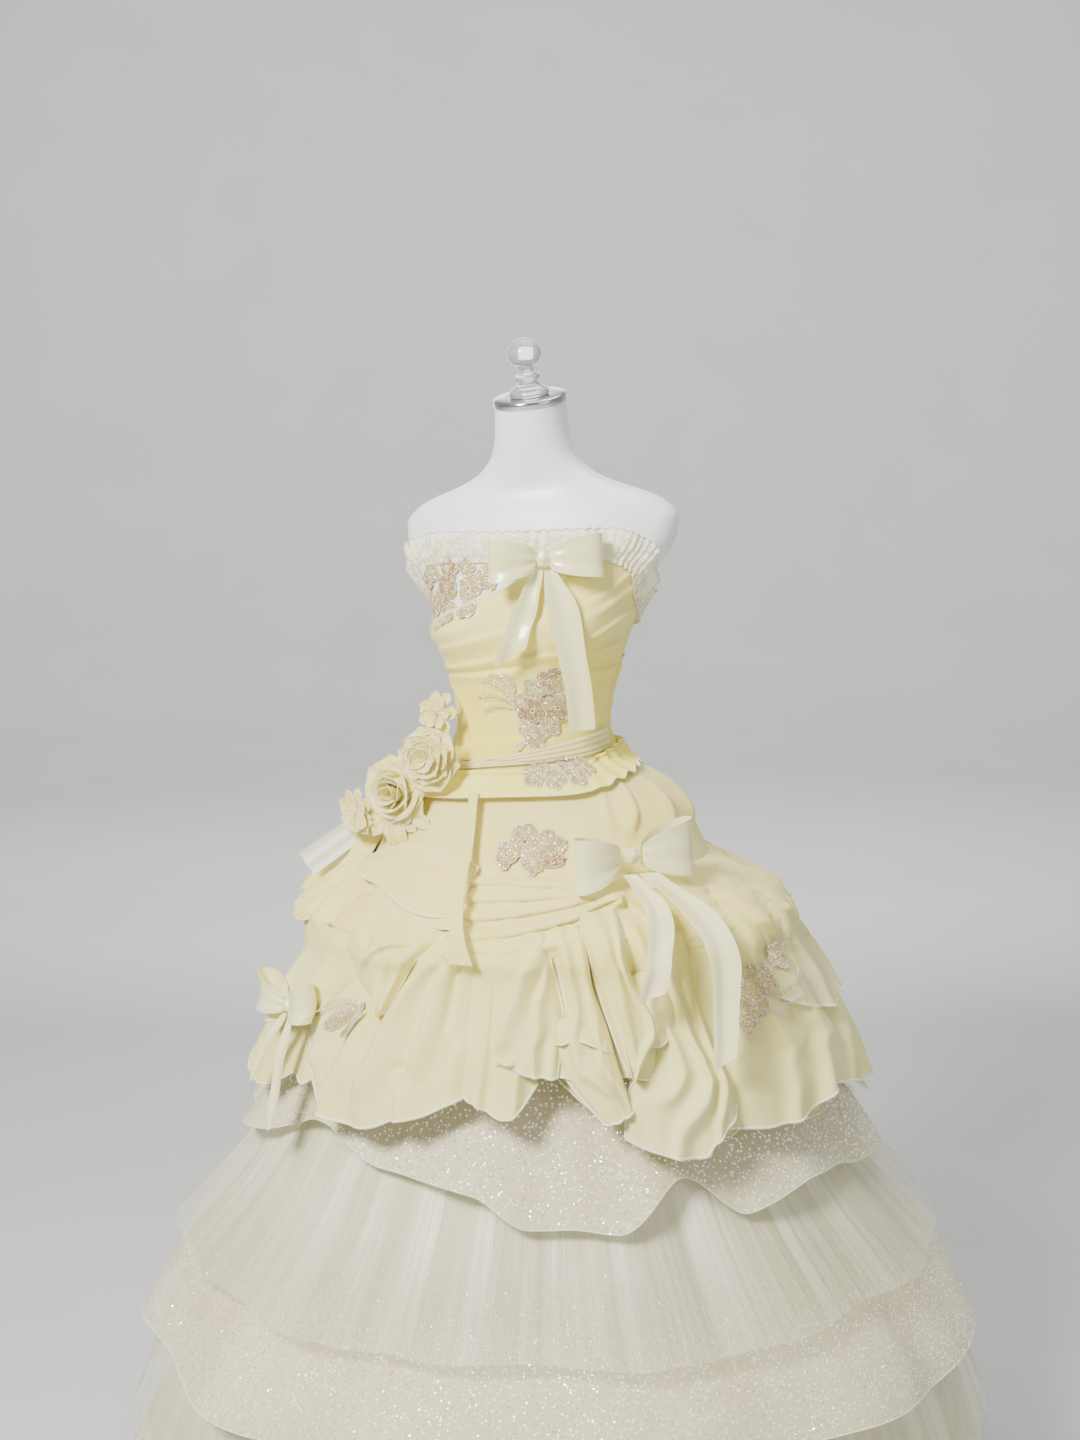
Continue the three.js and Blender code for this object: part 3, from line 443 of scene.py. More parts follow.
def buildWeave():
    # crossed threads along the cloth, with slubs; Threads is how many run in each metre
    group, given, back = newGroup("thread weave", {"Threads": 900.0, "Slub": 0.5, "Crinkle": 90.0},
                                  {"Height": "Float", "Crinkle": "Float"})
    place = put(group, "ShaderNodeTexCoord").outputs
    parts = put(group, "ShaderNodeSeparateXYZ", i0=place["UV"]).outputs
    waves = []
    for k in (0, 1):
        angle = maths(group, "MULTIPLY", maths(group, "MULTIPLY", parts[k], given["Threads"]), 6.2832)
        waves.append(maths(group, "ABSOLUTE", maths(group, "SINE", angle)))
    cloud = noise(group, place["Object"], given["Crinkle"], 3.0)
    feed(group, back, Crinkle=cloud,
         Height=maths(group, "MULTIPLY_ADD", cloud, given["Slub"], maths(group, "ADD", waves[0], waves[1])))
    return group


def buildDots():
    # scattered dots such as sequins or eyelets: a mask, a random value for each and a tilted normal
    group, given, back = newGroup("scattered dots", {"Scale": 300.0, "Size": 0.3, "Share": 0.7, "Tilt": 0.6},
                                  {"Mask": "Float", "Value": "Float", "Normal": "Vector"})
    place = put(group, "ShaderNodeTexCoord").outputs["Object"]
    cell = put(group, "ShaderNodeTexVoronoi", {"voronoi_dimensions": "3D"}, Vector=place,
               Scale=given["Scale"]).outputs
    disc = ranged(group, cell["Distance"], given["Size"], maths(group, "MULTIPLY", given["Size"], 0.8))
    chance = put(group, "ShaderNodeSeparateColor", i0=cell["Color"]).outputs
    mask = maths(group, "MULTIPLY", disc, maths(group, "LESS_THAN", chance[0], given["Share"]))
    shift = vectorMaths(group, "SUBTRACT", cell["Color"], i1=(0.5, 0.5, 0.5))
    size = vectorMaths(group, "SCALE", shift, i3=maths(group, "MULTIPLY", mask, given["Tilt"]))
    total = vectorMaths(group, "ADD", put(group, "ShaderNodeNewGeometry").outputs["Normal"], i1=size)
    feed(group, back, Mask=mask, Value=chance[1], Normal=vectorMaths(group, "NORMALIZE", total))
    return group


def buildPleats():
    # fine pressed lines that run up the cloth, with broader streaks that the pleated material paints as sheen and
    # makes less rough; Lines is how many there are in each metre
    group, given, back = newGroup("fine pleats", {"Lines": 200.0, "Uneven": 0.4, "Edge": 3.0, "Fade": 0.12},
                                  {"Height": "Float", "Edge": "Float", "Streak": "Float", "Above Hem": "Float"})
    parts = put(group, "ShaderNodeSeparateXYZ", i0=put(group, "ShaderNodeTexCoord").outputs["UV"]).outputs
    clouds = []
    for across, up, other in ((40.0, 1.5, {"detail": 3.0}), (26.0, 1.2, {"detail": 5.0, "Roughness": 0.62})):
        stretched = put(group, "ShaderNodeCombineXYZ", i0=maths(group, "MULTIPLY", parts[0], across),
                        i1=maths(group, "MULTIPLY", parts[1], up)).outputs[0]
        clouds.append(noise(group, stretched, 1.0, **other))
    lines = maths(group, "MULTIPLY", parts[0], given["Lines"])
    shifted = maths(group, "MULTIPLY_ADD", clouds[0], given["Uneven"], lines)
    full = maths(group, "MULTIPLY", maths(group, "PINGPONG", shifted, 0.5), 2.0)
    feed(group, back, Height=full, Edge=maths(group, "POWER", full, given["Edge"]),
         Streak=ranged(group, clouds[1], 0.40, 0.66, kind="SMOOTHSTEP"),
         Above_Hem=ranged(group, parts[1], 0.0, given["Fade"], kind="SMOOTHSTEP"))
    return group


def buildNet():
    # lace or net: threads round holes, and solid motifs here and there
    group, given, back = newGroup("lace net", {"Scale": 260.0, "Thread": 0.12, "Motif": 60.0},
                                  {"Cover": "Float", "Height": "Float"})
    place = put(group, "ShaderNodeTexCoord").outputs["Object"]
    cell = put(group, "ShaderNodeTexVoronoi", {"feature": "DISTANCE_TO_EDGE"}, Vector=place, Scale=given["Scale"])
    thread = ranged(group, cell.outputs["Distance"], given["Thread"], maths(group, "MULTIPLY", given["Thread"], 0.4))
    solid = ranged(group, noise(group, place, given["Motif"], 2.0), 0.5, 0.56)
    feed(group, back, Cover=maths(group, "MAXIMUM", thread, solid),
         Height=maths(group, "ADD", thread, maths(group, "MULTIPLY", solid, 0.8)))
    return group


toneGroup, weaveGroup, dotsGroup, pleatsGroup, netGroup = (
    buildTone(), buildWeave(), buildDots(), buildPleats(), buildNet())


def newMaterial(name, roughness=0.7, **uniform):
    material = bpy.data.materials.new(name)
    material.use_nodes = True
    shader = material.node_tree.nodes["Principled BSDF"].inputs
    shader["Roughness"].default_value = roughness
    for key, value in uniform.items():
        shader[key.replace("_", " ")].default_value = value
    return material, material.node_tree, shader


def useGroup(tree, group, **values):
    node = tree.nodes.new("ShaderNodeGroup")
    node.node_tree = group
    for key, value in values.items():
        node.inputs[key.replace("_", " ")].default_value = (*value, 1) if isinstance(value, tuple) else value
    return node.outputs


def mottle(tree, colourA, colourB, scale, **band):
    return useGroup(tree, toneGroup, Colour_A=colourA, Colour_B=colourB, Scale=scale, **band)


def bump(tree, height, strength, distance, **other):
    return put(tree, "ShaderNodeBump", Height=height, Strength=strength, Distance=distance, **other).outputs[0]


# chiffon, satin or thread: a mottled tone, a weave, and a roughness that follows its crinkles
def clothMaterial(name, colourA, colourB, scale, band=(), threads=900, slub=0.6, crinkle=70, depth=0.0004,
                  strength=0.25, roughness=(0.6, 0.8), **uniform):
    material, tree, shader = newMaterial(name, **uniform)
    banded = dict(zip(("Band_Colour", "Band_Low", "Band_High", "Band_Amount"), band))
    colour = mottle(tree, colourA, colourB, scale, **banded)
    weave = useGroup(tree, weaveGroup, Threads=threads, Slub=slub, Crinkle=crinkle)
    feed(tree, shader, Base_Color=colour["Colour"], Roughness=ranged(tree, weave["Crinkle"], 0.3, 0.7, *roughness),
         Normal=bump(tree, weave["Height"], strength, depth))
    return material


# two colours, the scale of their mottling, and what else differs; a band is (colour, low, high, amount)
soft = {"Sheen_Weight": 0.3}
softer = {"Sheen_Weight": 0.3, "Sheen_Roughness": 0.4}
stitched = {"threads": 2500, "crinkle": 400, "depth": 0.0006, "strength": 0.6, "roughness": (0.5, 0.7)}
ground = {"threads": 1600, "crinkle": 500, "depth": 0.0008, "strength": 0.8, "roughness": (0.4, 0.65)}
cloths = {
    "drape": ("drape chiffon", (0.99, 0.85, 0.14), (1.0, 0.90, 0.22), 11.0, {
        "band": ((0.96, 0.87, 0.31), 1.20, 1.30, 0.85), "Sheen_Weight": 0.25, "Sheen_Roughness": 0.4}),
    "band": ("band chiffon", (1.0, 0.89, 0.14), (1.0, 0.93, 0.22), 14.0, {
        "roughness": (0.5, 0.7), "Sheen_Weight": 0.2}),
    "over": ("overskirt chiffon", (0.93, 0.81, 0.23), (0.96, 0.86, 0.32), 7.0, {
        "band": ((0.88, 0.78, 0.28), 0.98, 1.05, 0.5), **softer}),
    "overPale": ("pale overskirt chiffon", (0.86, 0.79, 0.29), (0.90, 0.84, 0.38), 7.0, {
        "band": ((0.94, 0.84, 0.22), 0.78, 0.95, 0.6), **softer}),
    "hem": ("rolled hem", (0.93, 0.88, 0.62), (0.96, 0.93, 0.72), 40.0, {"threads": 1500, "Sheen_Weight": 0.2}),
    "sash": ("sash chiffon", (0.90, 0.80, 0.34), (0.94, 0.86, 0.44), 14.0, {"Alpha": 0.9, **soft}),
    "sheer": ("sheer chiffon", (0.88, 0.81, 0.33), (0.92, 0.86, 0.43), 9.0, {"Alpha": 0.86, **soft}),
    "satin": ("bow satin", (0.98, 0.91, 0.44), (1.0, 0.96, 0.55), 12.0, {
        "threads": 2200, "slub": 0.4, "crinkle": 40, "depth": 0.0002, "strength": 0.12, "roughness": (0.18, 0.26),
        "Anisotropic": 0.4, "Coat_Weight": 0.8, "Coat_Roughness": 0.1}),
    "petal": ("petal chiffon", (0.93, 0.80, 0.21), (0.96, 0.88, 0.34), 30.0, {
        "crinkle": 160, "depth": 0.0008, "roughness": (0.45, 0.7), **soft}),
    "lining": ("skirt lining", (0.72, 0.69, 0.48), (0.76, 0.73, 0.52), 6.0, {"roughness": (0.7, 0.85)}),
    "thread": ("white thread", (0.93, 0.89, 0.74), (0.96, 0.94, 0.84), 90.0, stitched),
    "paleThread": ("pale thread", (0.88, 0.78, 0.40), (0.94, 0.88, 0.56), 90.0, stitched),
    "motif": ("embroidered ground", (0.88, 0.68, 0.27), (0.97, 0.83, 0.43), 160.0, ground),
    "roseCloth": ("rose embroidered ground", (0.60, 0.38, 0.17), (0.78, 0.57, 0.30), 160.0, ground),
    "ribbon": ("stiff white ribbon", (0.88, 0.87, 0.74), (0.92, 0.91, 0.80), 20.0, {
        "threads": 1800, "crinkle": 80, "depth": 0.0003, "roughness": (0.35, 0.5), "Alpha": 0.9}),
    "stamen": ("stamen", (0.80, 0.70, 0.30), (0.88, 0.80, 0.45), 60.0, {"roughness": (0.4, 0.5)})}
materials = {key: clothMaterial(*tones, **other) for key, (*tones, other) in cloths.items()}


# smooth painted form: faint orange peel and handling marks
def formMaterial():
    material, tree, shader = newMaterial("white form", Coat_Weight=0.25, Coat_Roughness=0.25)
    colour = mottle(tree, (0.90, 0.905, 0.91), (0.93, 0.935, 0.94), 5.0)
    peel = useGroup(tree, weaveGroup, Crinkle=260.0)
    feed(tree, shader, Base_Color=colour["Colour"], Roughness=ranged(tree, colour["Tone"], 0, 1, 0.34, 0.44),
         Normal=bump(tree, peel["Crinkle"], 0.05, 0.0004))
    return material


# chrome or clear plastic: handling marks show in the gloss
def polishedMaterial(name, colourA, colourB, marks, roughness, **uniform):
    material, tree, shader = newMaterial(name, **uniform)
    worn = useGroup(tree, weaveGroup, Crinkle=marks)
    feed(tree, shader, Base_Color=mottle(tree, colourA, colourB, 20.0)["Colour"],
         Roughness=ranged(tree, worn["Crinkle"], 0.3, 0.7, *roughness))
    return material


# net with sewn-on glitter: each dot has its own brightness and tilt, and glows with a painted glint from emission
def glitterMaterial():
    # the emission strength here lights only the dots below: a painted glint, glowing without a lamp
    material, tree, shader = newMaterial("glitter tulle", Alpha=0.88, Sheen_Weight=0.2, Emission_Strength=0.45)
    colour = mottle(tree, (0.73, 0.66, 0.41), (0.78, 0.72, 0.48), 6.0)
    dots = useGroup(tree, dotsGroup, Scale=200.0, Size=0.33, Share=0.9, Tilt=0.6)
    shine = blended(tree, dots["Value"], (0.90, 0.86, 0.68, 1), (1.0, 1.0, 0.90, 1))
    # the emission colour on the dot mask is the painted glint; the rest of the net stays black in emission
    feed(tree, shader, Base_Color=blended(tree, dots["Mask"], colour["Colour"], shine),
         Roughness=ranged(tree, dots["Mask"], 0, 1, 0.75, 0.28), Metallic=ranged(tree, dots["Mask"], 0, 1, 0.0, 0.15),
         Emission_Color=blended(tree, dots["Mask"], (0, 0, 0, 1), (1, 0.98, 0.92, 1)),
         Normal=bump(tree, dots["Mask"], 0.4, 0.0005, Normal=dots["Normal"]))
    return material


# pleated net: paler streaks of painted sheen, less rough there too, and thinner towards the hem
def pleatedMaterial():
    material, tree, shader = newMaterial("pleated tulle", Sheen_Weight=0.3, Sheen_Roughness=0.35)
    colour = mottle(tree, (0.67, 0.64, 0.40), (0.73, 0.70, 0.46), 5.0)
    pleats = useGroup(tree, pleatsGroup, Lines=260.0, Uneven=3.0, Edge=4.0, Fade=0.17)
    cover = ranged(tree, pleats["Above Hem"], 0, 1, 0.34, 0.86)
    # the paler colour along the streaks is painted sheen, not the net's own colour
    feed(tree, shader, Base_Color=blended(tree, pleats["Streak"], colour["Colour"], (0.93, 0.91, 0.68, 1)),
         Roughness=ranged(tree, pleats["Streak"], 0, 1, 0.62, 0.36),
         Alpha=maths(tree, "MULTIPLY_ADD", pleats["Edge"], 0.16, cover),
         Normal=bump(tree, pleats["Height"], 0.22, 0.0010))
    return material


def laceMaterial(name, colourA, colourB, scale, motif, sheer):
    material, tree, shader = newMaterial(name, Sheen_Weight=0.2)
    colour = mottle(tree, colourA, colourB, 60.0)
    net = useGroup(tree, netGroup, Scale=scale, Thread=0.16, Motif=motif)
    dots = useGroup(tree, dotsGroup, Scale=260.0, Size=0.30, Share=0.75, Tilt=0.3)
    cover = maths(tree, "MAXIMUM", net["Cover"], dots["Mask"])
    feed(tree, shader, Base_Color=blended(tree, dots["Mask"], colour["Colour"], (0.93, 0.92, 0.88, 1)),
         Roughness=ranged(tree, dots["Mask"], 0, 1, 0.75, 0.3), Alpha=ranged(tree, cover, 0, 1, sheer, 1.0),
         Normal=bump(tree, maths(tree, "ADD", net["Height"], dots["Mask"]), 0.3, 0.0006))
    return material


# sequins, beads and flakes: each is a facet of its own, so the colour goes by place
def sequinMaterial(name, colourA, colourB, metal, roughness):
    material, tree, shader = newMaterial(name, Metallic=metal)
    colour = mottle(tree, colourA, colourB, 400.0)
    feed(tree, shader, Base_Color=colour["Colour"],
         Roughness=ranged(tree, colour["Tone"], 0, 1, roughness, roughness + 0.15))
    return material


def stageMaterial():
    material, tree, shader = newMaterial("studio floor", 0.85)
    tone = tuple(c * 0.97 for c in lightSet["floorColour"])
    feed(tree, shader, Base_Color=mottle(tree, lightSet["floorColour"], tone, 2.0)["Colour"])
    return material


materials.update({
    "form": formMaterial(),
    "chrome": polishedMaterial("polished chrome", (0.62, 0.63, 0.65), (0.70, 0.71, 0.73), 120.0, (0.06, 0.2),
                               Metallic=1.0),
    "clear": polishedMaterial("clear finial", (0.86, 0.89, 0.90), (0.93, 0.95, 0.95), 150.0, (0.02, 0.1),
                              Transmission_Weight=0.85, IOR=1.47),
    "glitter": glitterMaterial(), "pleated": pleatedMaterial(),
    "lace": laceMaterial("neckline lace", (0.92, 0.86, 0.54), (0.96, 0.92, 0.66), 300.0, 110.0, 0.16),
    "bodice": laceMaterial("bodice lace", (0.90, 0.84, 0.60), (0.94, 0.90, 0.70), 380.0, 90.0, 1.0),
    "sequin": sequinMaterial("champagne sequins", (0.92, 0.71, 0.28), (1.0, 0.93, 0.60), 0.2, 0.24),
    "rose": sequinMaterial("rose beads", (0.56, 0.35, 0.16), (0.76, 0.54, 0.28), 0.25, 0.3),
    "glint": sequinMaterial("glitter flakes", (0.80, 0.76, 0.70), (1.0, 0.98, 0.95), 0.7, 0.18)})

# floor that sweeps up into a round pale wall, far outside the object: radius and height
backdropSet = {"sides": 96, "sweep": [(0.01, -0.0005), (8.0, -0.0005), (9.2, 0.15), (10.0, 0.8), (10.2, 2.0),
                                      (10.2, 9.0)]}
sides, sweep = backdropSet["sides"], backdropSet["sweep"]
backdrop = bpy.data.meshes.new("studio_floor")
backdrop.from_pydata(
    [(r * math.cos(k / sides * 2 * pi), r * math.sin(k / sides * 2 * pi), h)
     for r, h in sweep for k in range(sides)], [],
    [(j * sides + k, j * sides + (k + 1) % sides, (j + 1) * sides + (k + 1) % sides, (j + 1) * sides + k)
     for j in range(len(sweep) - 1) for k in range(sides)] + [tuple(range(sides))[::-1]])
backdrop.polygons.foreach_set("use_smooth", [True] * len(backdrop.polygons))
backdrop.materials.append(stageMaterial())
floor = bpy.data.objects.new("studio_floor", backdrop)
bpy.context.scene.collection.objects.link(floor)
print("materials made")


trims = {}


# one cloth piece: its mesh, what it stands for, and the size it was cut to
def cloth(name, shape, sheets, used, replaced):
    piece = finishShape(shape, name, used, replaced)
    cutSize(*sheets)


def lattice(first, last, columns, rows):
    a = np.linspace(first, last, columns + 1)[:, None] + np.zeros((1, rows + 1))
    t = np.linspace(0, 1, rows + 1)[None, :] + np.zeros((columns + 1, 1))
    return a, t


# a hard part turned about an axis: (radius, height) rows from a centre
def turnedPiece(name, rows, centre, axis, sides, used, node, count=0):
    profile = smoothLine(rows, count) if count else np.array(rows, dtype=float)
    axis = np.array(axis, dtype=float)
    e1 = np.array([1.0, 0, 0])
    e2 = np.cross(axis, e1)
    theta = np.linspace(0, 2 * pi, sides + 1)[:, None, None]
    r, h = profile[None, :, 0:1], profile[None, :, 1:2]
    shape = newShape()
    addGrid(shape, np.array(centre) + r * (np.cos(theta) * e1 + np.sin(theta) * e2) + h * axis, 0, ring=True)
    finishShape(shape, name, [used], [node])


# dress form: smooth limbless bust with a plate at each armhole
form = {"columns": 132, "rows": 110, "tilt": 18, "slopeFrom": 1.48, "plateY": 0.004, "plateZ": 1.352,
        "plateWide": 0.047, "plateTall": 0.066, "plateOut": 0.0022}
a, t = lattice(0, 360, form["columns"], form["rows"])
z = mix(formRows[0][0], formRows[-1][0], t)
flatPoint = onForm(a, z, 0)
reach = np.hypot((flatPoint[..., 1] - form["plateY"]) / form["plateWide"],
                 (z - form["plateZ"]) / form["plateTall"])
lip = form["plateOut"] * smooth(1.04, 0.99, reach) * (np.abs(np.sin(a * rad)) > 0.55)
torso = onForm(a, z, lip)
torso[..., 2] += (torso[..., 1] - along(formRows, 4, z)) * math.tan(form["tilt"] * rad) * smooth(
    form["slopeFrom"], formRows[-1][0], z)
shape = newShape()
addGrid(shape, torso, 0, ring=True)
for j in (0, -1):
    middle = torso[:-1, j].mean(axis=0)
    addGrid(shape, np.stack([torso[:, j], np.tile(middle, (len(torso), 1))][::1 if j else -1], axis=1), 0, ring=True)
finishShape(shape, "form_bust", ["form"], ["form_torso"])

# lid and finial on the sloping neck, pole and base under the skirt
lid = {"radius": 0.05, "thick": 0.011, "round": 0.004, "gap": 0.0003, "edge": 0.0012, "sides": 96}
finial = {"sides": 72, "points": 80, "profile": [
    (0.0002, 0.0003), (0.024, 0.0003), (0.0268, 0.003), (0.0262, 0.007), (0.019, 0.0115), (0.0135, 0.017),
    (0.0135, 0.0195), (0.0168, 0.0225), (0.0168, 0.026), (0.0110, 0.0295), (0.0095, 0.0335), (0.013, 0.039),
    (0.019, 0.0455), (0.0226, 0.053), (0.0218, 0.061), (0.0165, 0.069), (0.009, 0.0745), (0.0002, 0.0760)]}
stand = {"pole": [(0.016, 0.0153), (0.016, formRows[0][0] - 0.0003)], "base": [
    (0.0001, 0), (0.178, 0), (0.18, 0.001), (0.18, 0.0068), (0.1788, 0.008), (0.10, 0.0118), (0.032, 0.0146),
    (0.0315, 0.015), (0.0001, 0.015)]}
neckTop = (0, formRows[-1][4], formRows[-1][0])
neckAxis = (0, -math.sin(form["tilt"] * rad), math.cos(form["tilt"] * rad))
rim = [(lid["radius"] - lid["round"] * (1 - math.cos(k * rad)), lid["thick"] - lid["round"] * (1 - math.sin(k * rad)))
       for k in range(0, 91, 15)]
lidRows = [(0.0001, lid["gap"]), (lid["radius"] - 0.001, lid["gap"]), (lid["radius"], lid["edge"]), *rim,
           (0.030, lid["thick"] - 0.0003), (0.0001, lid["thick"])]
turnedPiece("neck_lid", lidRows, neckTop, neckAxis, lid["sides"], "chrome", "form_neck_cap")
turnedPiece("turned_finial", [(r, h + lid["thick"]) for r, h in finial["profile"]], neckTop, neckAxis,
            finial["sides"], "clear", "form_finial", finial["points"])
turnedPiece("stand_pole", stand["pole"], (0, 0, 0), (0, 0, 1), 64, "chrome", "form_pole")
turnedPiece("stand_base", stand["base"], (0, 0, 0), (0, 0, 1), 96, "chrome", "form_base")
print("form and stand made")


def necklineAt(angle):
    return along(neckline, 1, np.abs(wrap(angle)))


# bodice shell, piped along the top and down the centre back
bodiceShell = {"panels": [("front", "bodice_front", -90, 90, 100, 34), ("left", "bodice_back_left", 91, 179.7, 50, 24),
                          ("right", "bodice_back_right", 180.3, 269, 50, 24)], "piping": 0.0011, "lift": 0.0003}
for side, node, first, last, columns, rows in bodiceShell["panels"]:
    a, t = lattice(first, last, columns, rows)
    z = mix(bodice["waist"] + bodiceShell["lift"], necklineAt(a) - 0.001, t)
    sheet = onForm(a, z, bodice["out"] + bodiceShell["lift"] * swell(4, a * 0.002, z, 0.03))
    shape = newShape()
    addGrid(shape, sheet)
    addTube(shape, sheet[:, -1], bodiceShell["piping"])
    if side != "front":
        addTube(shape, sheet[-1 if side == "left" else 0], bodiceShell["piping"])
    cloth(f"bodice_{side}_cloth", shape, [sheet], ["bodice", "hem"], [node])

# wrapped chiffon over the bust and midriff
bodyMetre = 0.118 * rad        # metres of cloth to a degree round the body
drape = {"columns": 200, "rows": 104, "low": 1.087, "edge": 0.0016, "swell": 0.0007, "cord": 0.0012, "seam": 0.0016,
         "backColumns": 170, "backRows": 60,
         "folds": [
             ([(-84, 1222), (-60, 1230), (-28, 1240), (-0.2, 1258), (25, 1277), (44, 1290)], 3.5, 11, 4, 0.4, 0),
             ([(-73, 1243), (-25, 1261), (-14, 1282), (-5, 1303)], 4, 10, 2.8, 0.2, 0),
             ([(-60, 1262), (-30, 1285), (-10, 1312)], 5, 9, 1.6, 0, 0),
             ([(-88, 1208), (-39, 1210.5), (-19.5, 1217), (-6, 1223), (9, 1225), (34, 1228), (52, 1226)], 2.5, 8,
              4.4, 0.7, 0), ([(-86, 1200), (-26, 1205), (-7, 1210), (18, 1216), (36, 1216)], 2.4, 4.2, -3, 0.6, 0),
             ([(-80, 1193), (-30, 1198), (0, 1204), (20, 1209)], 2.2, 6, 2.2, 0.4, 0),
             ([(40, 1240), (52, 1256), (64, 1269), (86, 1288)], 3.5, 11, 4.2, 0, 0.6),
             ([(36, 1272), (51, 1287), (65, 1306), (74, 1322)], 3.5, 9, 3, 0, 0.5),
             ([(37, 1292), (48, 1303), (57, 1324), (61, 1338)], 3.2, 8, 2.8, 0, 0.6),
             ([(48, 1224), (62, 1236), (88, 1245)], 3, 9, 3.4, 0, 0.6),
             ([(52, 1204), (71, 1205), (90, 1210)], 3, 8, 3, 0, 0.6),
             ([(48, 1176), (70, 1178), (90, 1184)], 4, 10, 2, 0, 0.5),
             ([(-30, 1113), (-20, 1135), (0, 1160), (14, 1176)], 6, 14, 1.4, 0.6, 0),
             ([(-34, 1122), (-40, 1150), (-60, 1180), (-88, 1196)], 4, 10, 2.6, 0.6, 0.4),
             ([(-30, 1106), (0, 1112), (40, 1122), (88, 1142)], 5, 12, 1.8, 0.5, 0.5),
             ([(12, 1296), (20, 1310), (26, 1330)], 4, 9, 2.2, 0, 0.5),
             ([(-2, 1290), (8, 1302), (16, 1322)], 4, 8, 1.8, 0, 0.4)]}
backFolds = [  # angle and height at the start and at the end of each fold, and how high it stands
    (91, 1208, 60, 1196, 4), (91, 1195, 86, 1176, 3), (91, 1182, 120, 1150, 2.8), (91, 1165, 150, 1128, 2.6),
    (269, 1206, -70, 1190, 3.8), (269, 1190, -100, 1164, 3), (269, 1172, -130, 1136, 2.8),
    (269, 1150, -150, 1118, 2.4), (269, 1128, -120, 1110, 2)]


def drapeSheet(side, sheet):
    shape = newShape()
    addGrid(shape, sheet)
    addTube(shape, sheet[:, -1], drape["cord"])
    for seam in (sheet[0], sheet[-1]):
        addTube(shape, seam, drape["seam"], slot=0)
    cloth(f"drape_{side}_cloth", shape, [sheet], ["drape", "hem"], [f"bodice_drape_{side}"])


a, t = lattice(-91, 91, drape["columns"], drape["rows"])
z = mix(drape["low"], along(drapeTop, 1, a), t)
out = bodice["drapeOut"] + 0.0006 + foldField(a * bodyMetre, z, drawn(drape["folds"], bodyMetre))
out = out + drape["swell"] * swell(11, a * bodyMetre, z, 0.05)
out = mix(out, bodice["drapeOut"], smooth(84, 90, np.abs(a))) + drape["edge"] * bell(1 - t, 0.03)
drapeSheet("front", onForm(a, z, out))
a, t = lattice(91, 269, drape["backColumns"], drape["backRows"])
z = mix(drape["low"], drapeTop[0][1], t)
folds = [([(p, q), (p + r, s)], 3.5, 10, h, 0.6, 0.6) for p, q, r, s, h in backFolds]
out = bodice["drapeOut"] + foldField(a * bodyMetre, z, drawn(folds, bodyMetre))
out = out + drape["swell"] * swell(12, a * bodyMetre, z, 0.05)
drapeSheet("back", onForm(a, z, out + drape["edge"] * bell(1 - t, 0.04)))

# shirred lace at the neckline: fine gathers below, a ragged shell edge above
ruffle = {"columns": 800, "rows": 14, "low": 0.020, "high": 0.0205, "waves": 18, "depth": 0.0034, "shirr": 96,
          "shirrDepth": 0.0016, "shell": 0.0028, "shells": 41, "stitch": 0.0022, "gap": 0.0016, "stand": 0.0032,
          "lean": 0.004, "cord": 0.0010}
a, t = lattice(0, 360, ruffle["columns"], ruffle["rows"])
z = necklineAt(a) + mix(-ruffle["low"], ruffle["high"], t)
z += ruffle["shell"] * (np.abs(np.sin(a * rad * ruffle["shells"])) - 0.6) * smooth(0.75, 1, t)
wave = ruffle["depth"] * (0.3 + 0.7 * t) * np.sin(a * rad * ruffle["waves"])
uneven = 1 + 0.4 * np.sin(a * rad * 7 + 1) + 0.3 * np.sin(a * rad * 13 + 2)
fine = ruffle["shirrDepth"] * (0.35 + 0.65 * np.abs(t - 0.42)) * np.sin(a * rad * ruffle["shirr"]) * uneven
pinch = -ruffle["stitch"] * (bell(t - 0.40, 0.05) + 0.7 * bell(t - 0.16, 0.05))
out = bodice["out"] + ruffle["gap"] + ruffle["stand"] + ruffle["depth"] + ruffle["lean"] * t + ruffle["gap"]
out = out + wave + fine + pinch
out -= 0.0075 * smooth(0.45, 0.0, t) * smooth(0.0, 0.008, z - along(drapeTop, 1, wrap(a))) * (np.abs(wrap(a)) < 89)
lace = onForm(a, z, out)
shape = newShape()
addGrid(shape, lace, ring=True)
for row in (0, -1):
    addTube(shape, lace[:-1, row], ruffle["cord"], sides=4, closed=True)
cloth("neckline_lace", shape, [lace], ["lace", "thread"], ["neckline_ruffle"])

# slanting sash, pinched at the wearer's right
sash = {"first": -60, "last": 80, "left": 1.072, "right": 1.116, "tall": 0.023, "out": 0.0030, "pleats": 3.5,
        "pleatDepth": 0.0009, "belly": 0.0012}
a, t = lattice(sash["first"], sash["last"], 150, 28)
part = (a - sash["first"]) / (sash["last"] - sash["first"])
tall = sash["tall"] * (0.42 + 0.66 * smooth(0.22, 0.85, part))
z = mix(sash["left"], sash["right"], part) + tall * (t - 0.5)
out = sash["out"] + sash["pleatDepth"] * np.cos(t * 2 * pi * sash["pleats"] + part * 1.5)
out = out + sash["belly"] * smooth(0.2, 0.9, part) * np.sin(t * pi)
sashSheet = overHip(a, z, out)
shape = newShape()
addGrid(shape, sashSheet)
cloth("sash_cloth", shape, [sashSheet], ["sash"], ["waist_sash"])


# a grid that goes all the way round, with a cord along its lower edge
def ringShape(sheet, cord, **other):
    shape = newShape()
    addGrid(shape, sheet, ring=True)
    addTube(shape, sheet[:-1, 0], cord, closed=True, **other)
    return shape


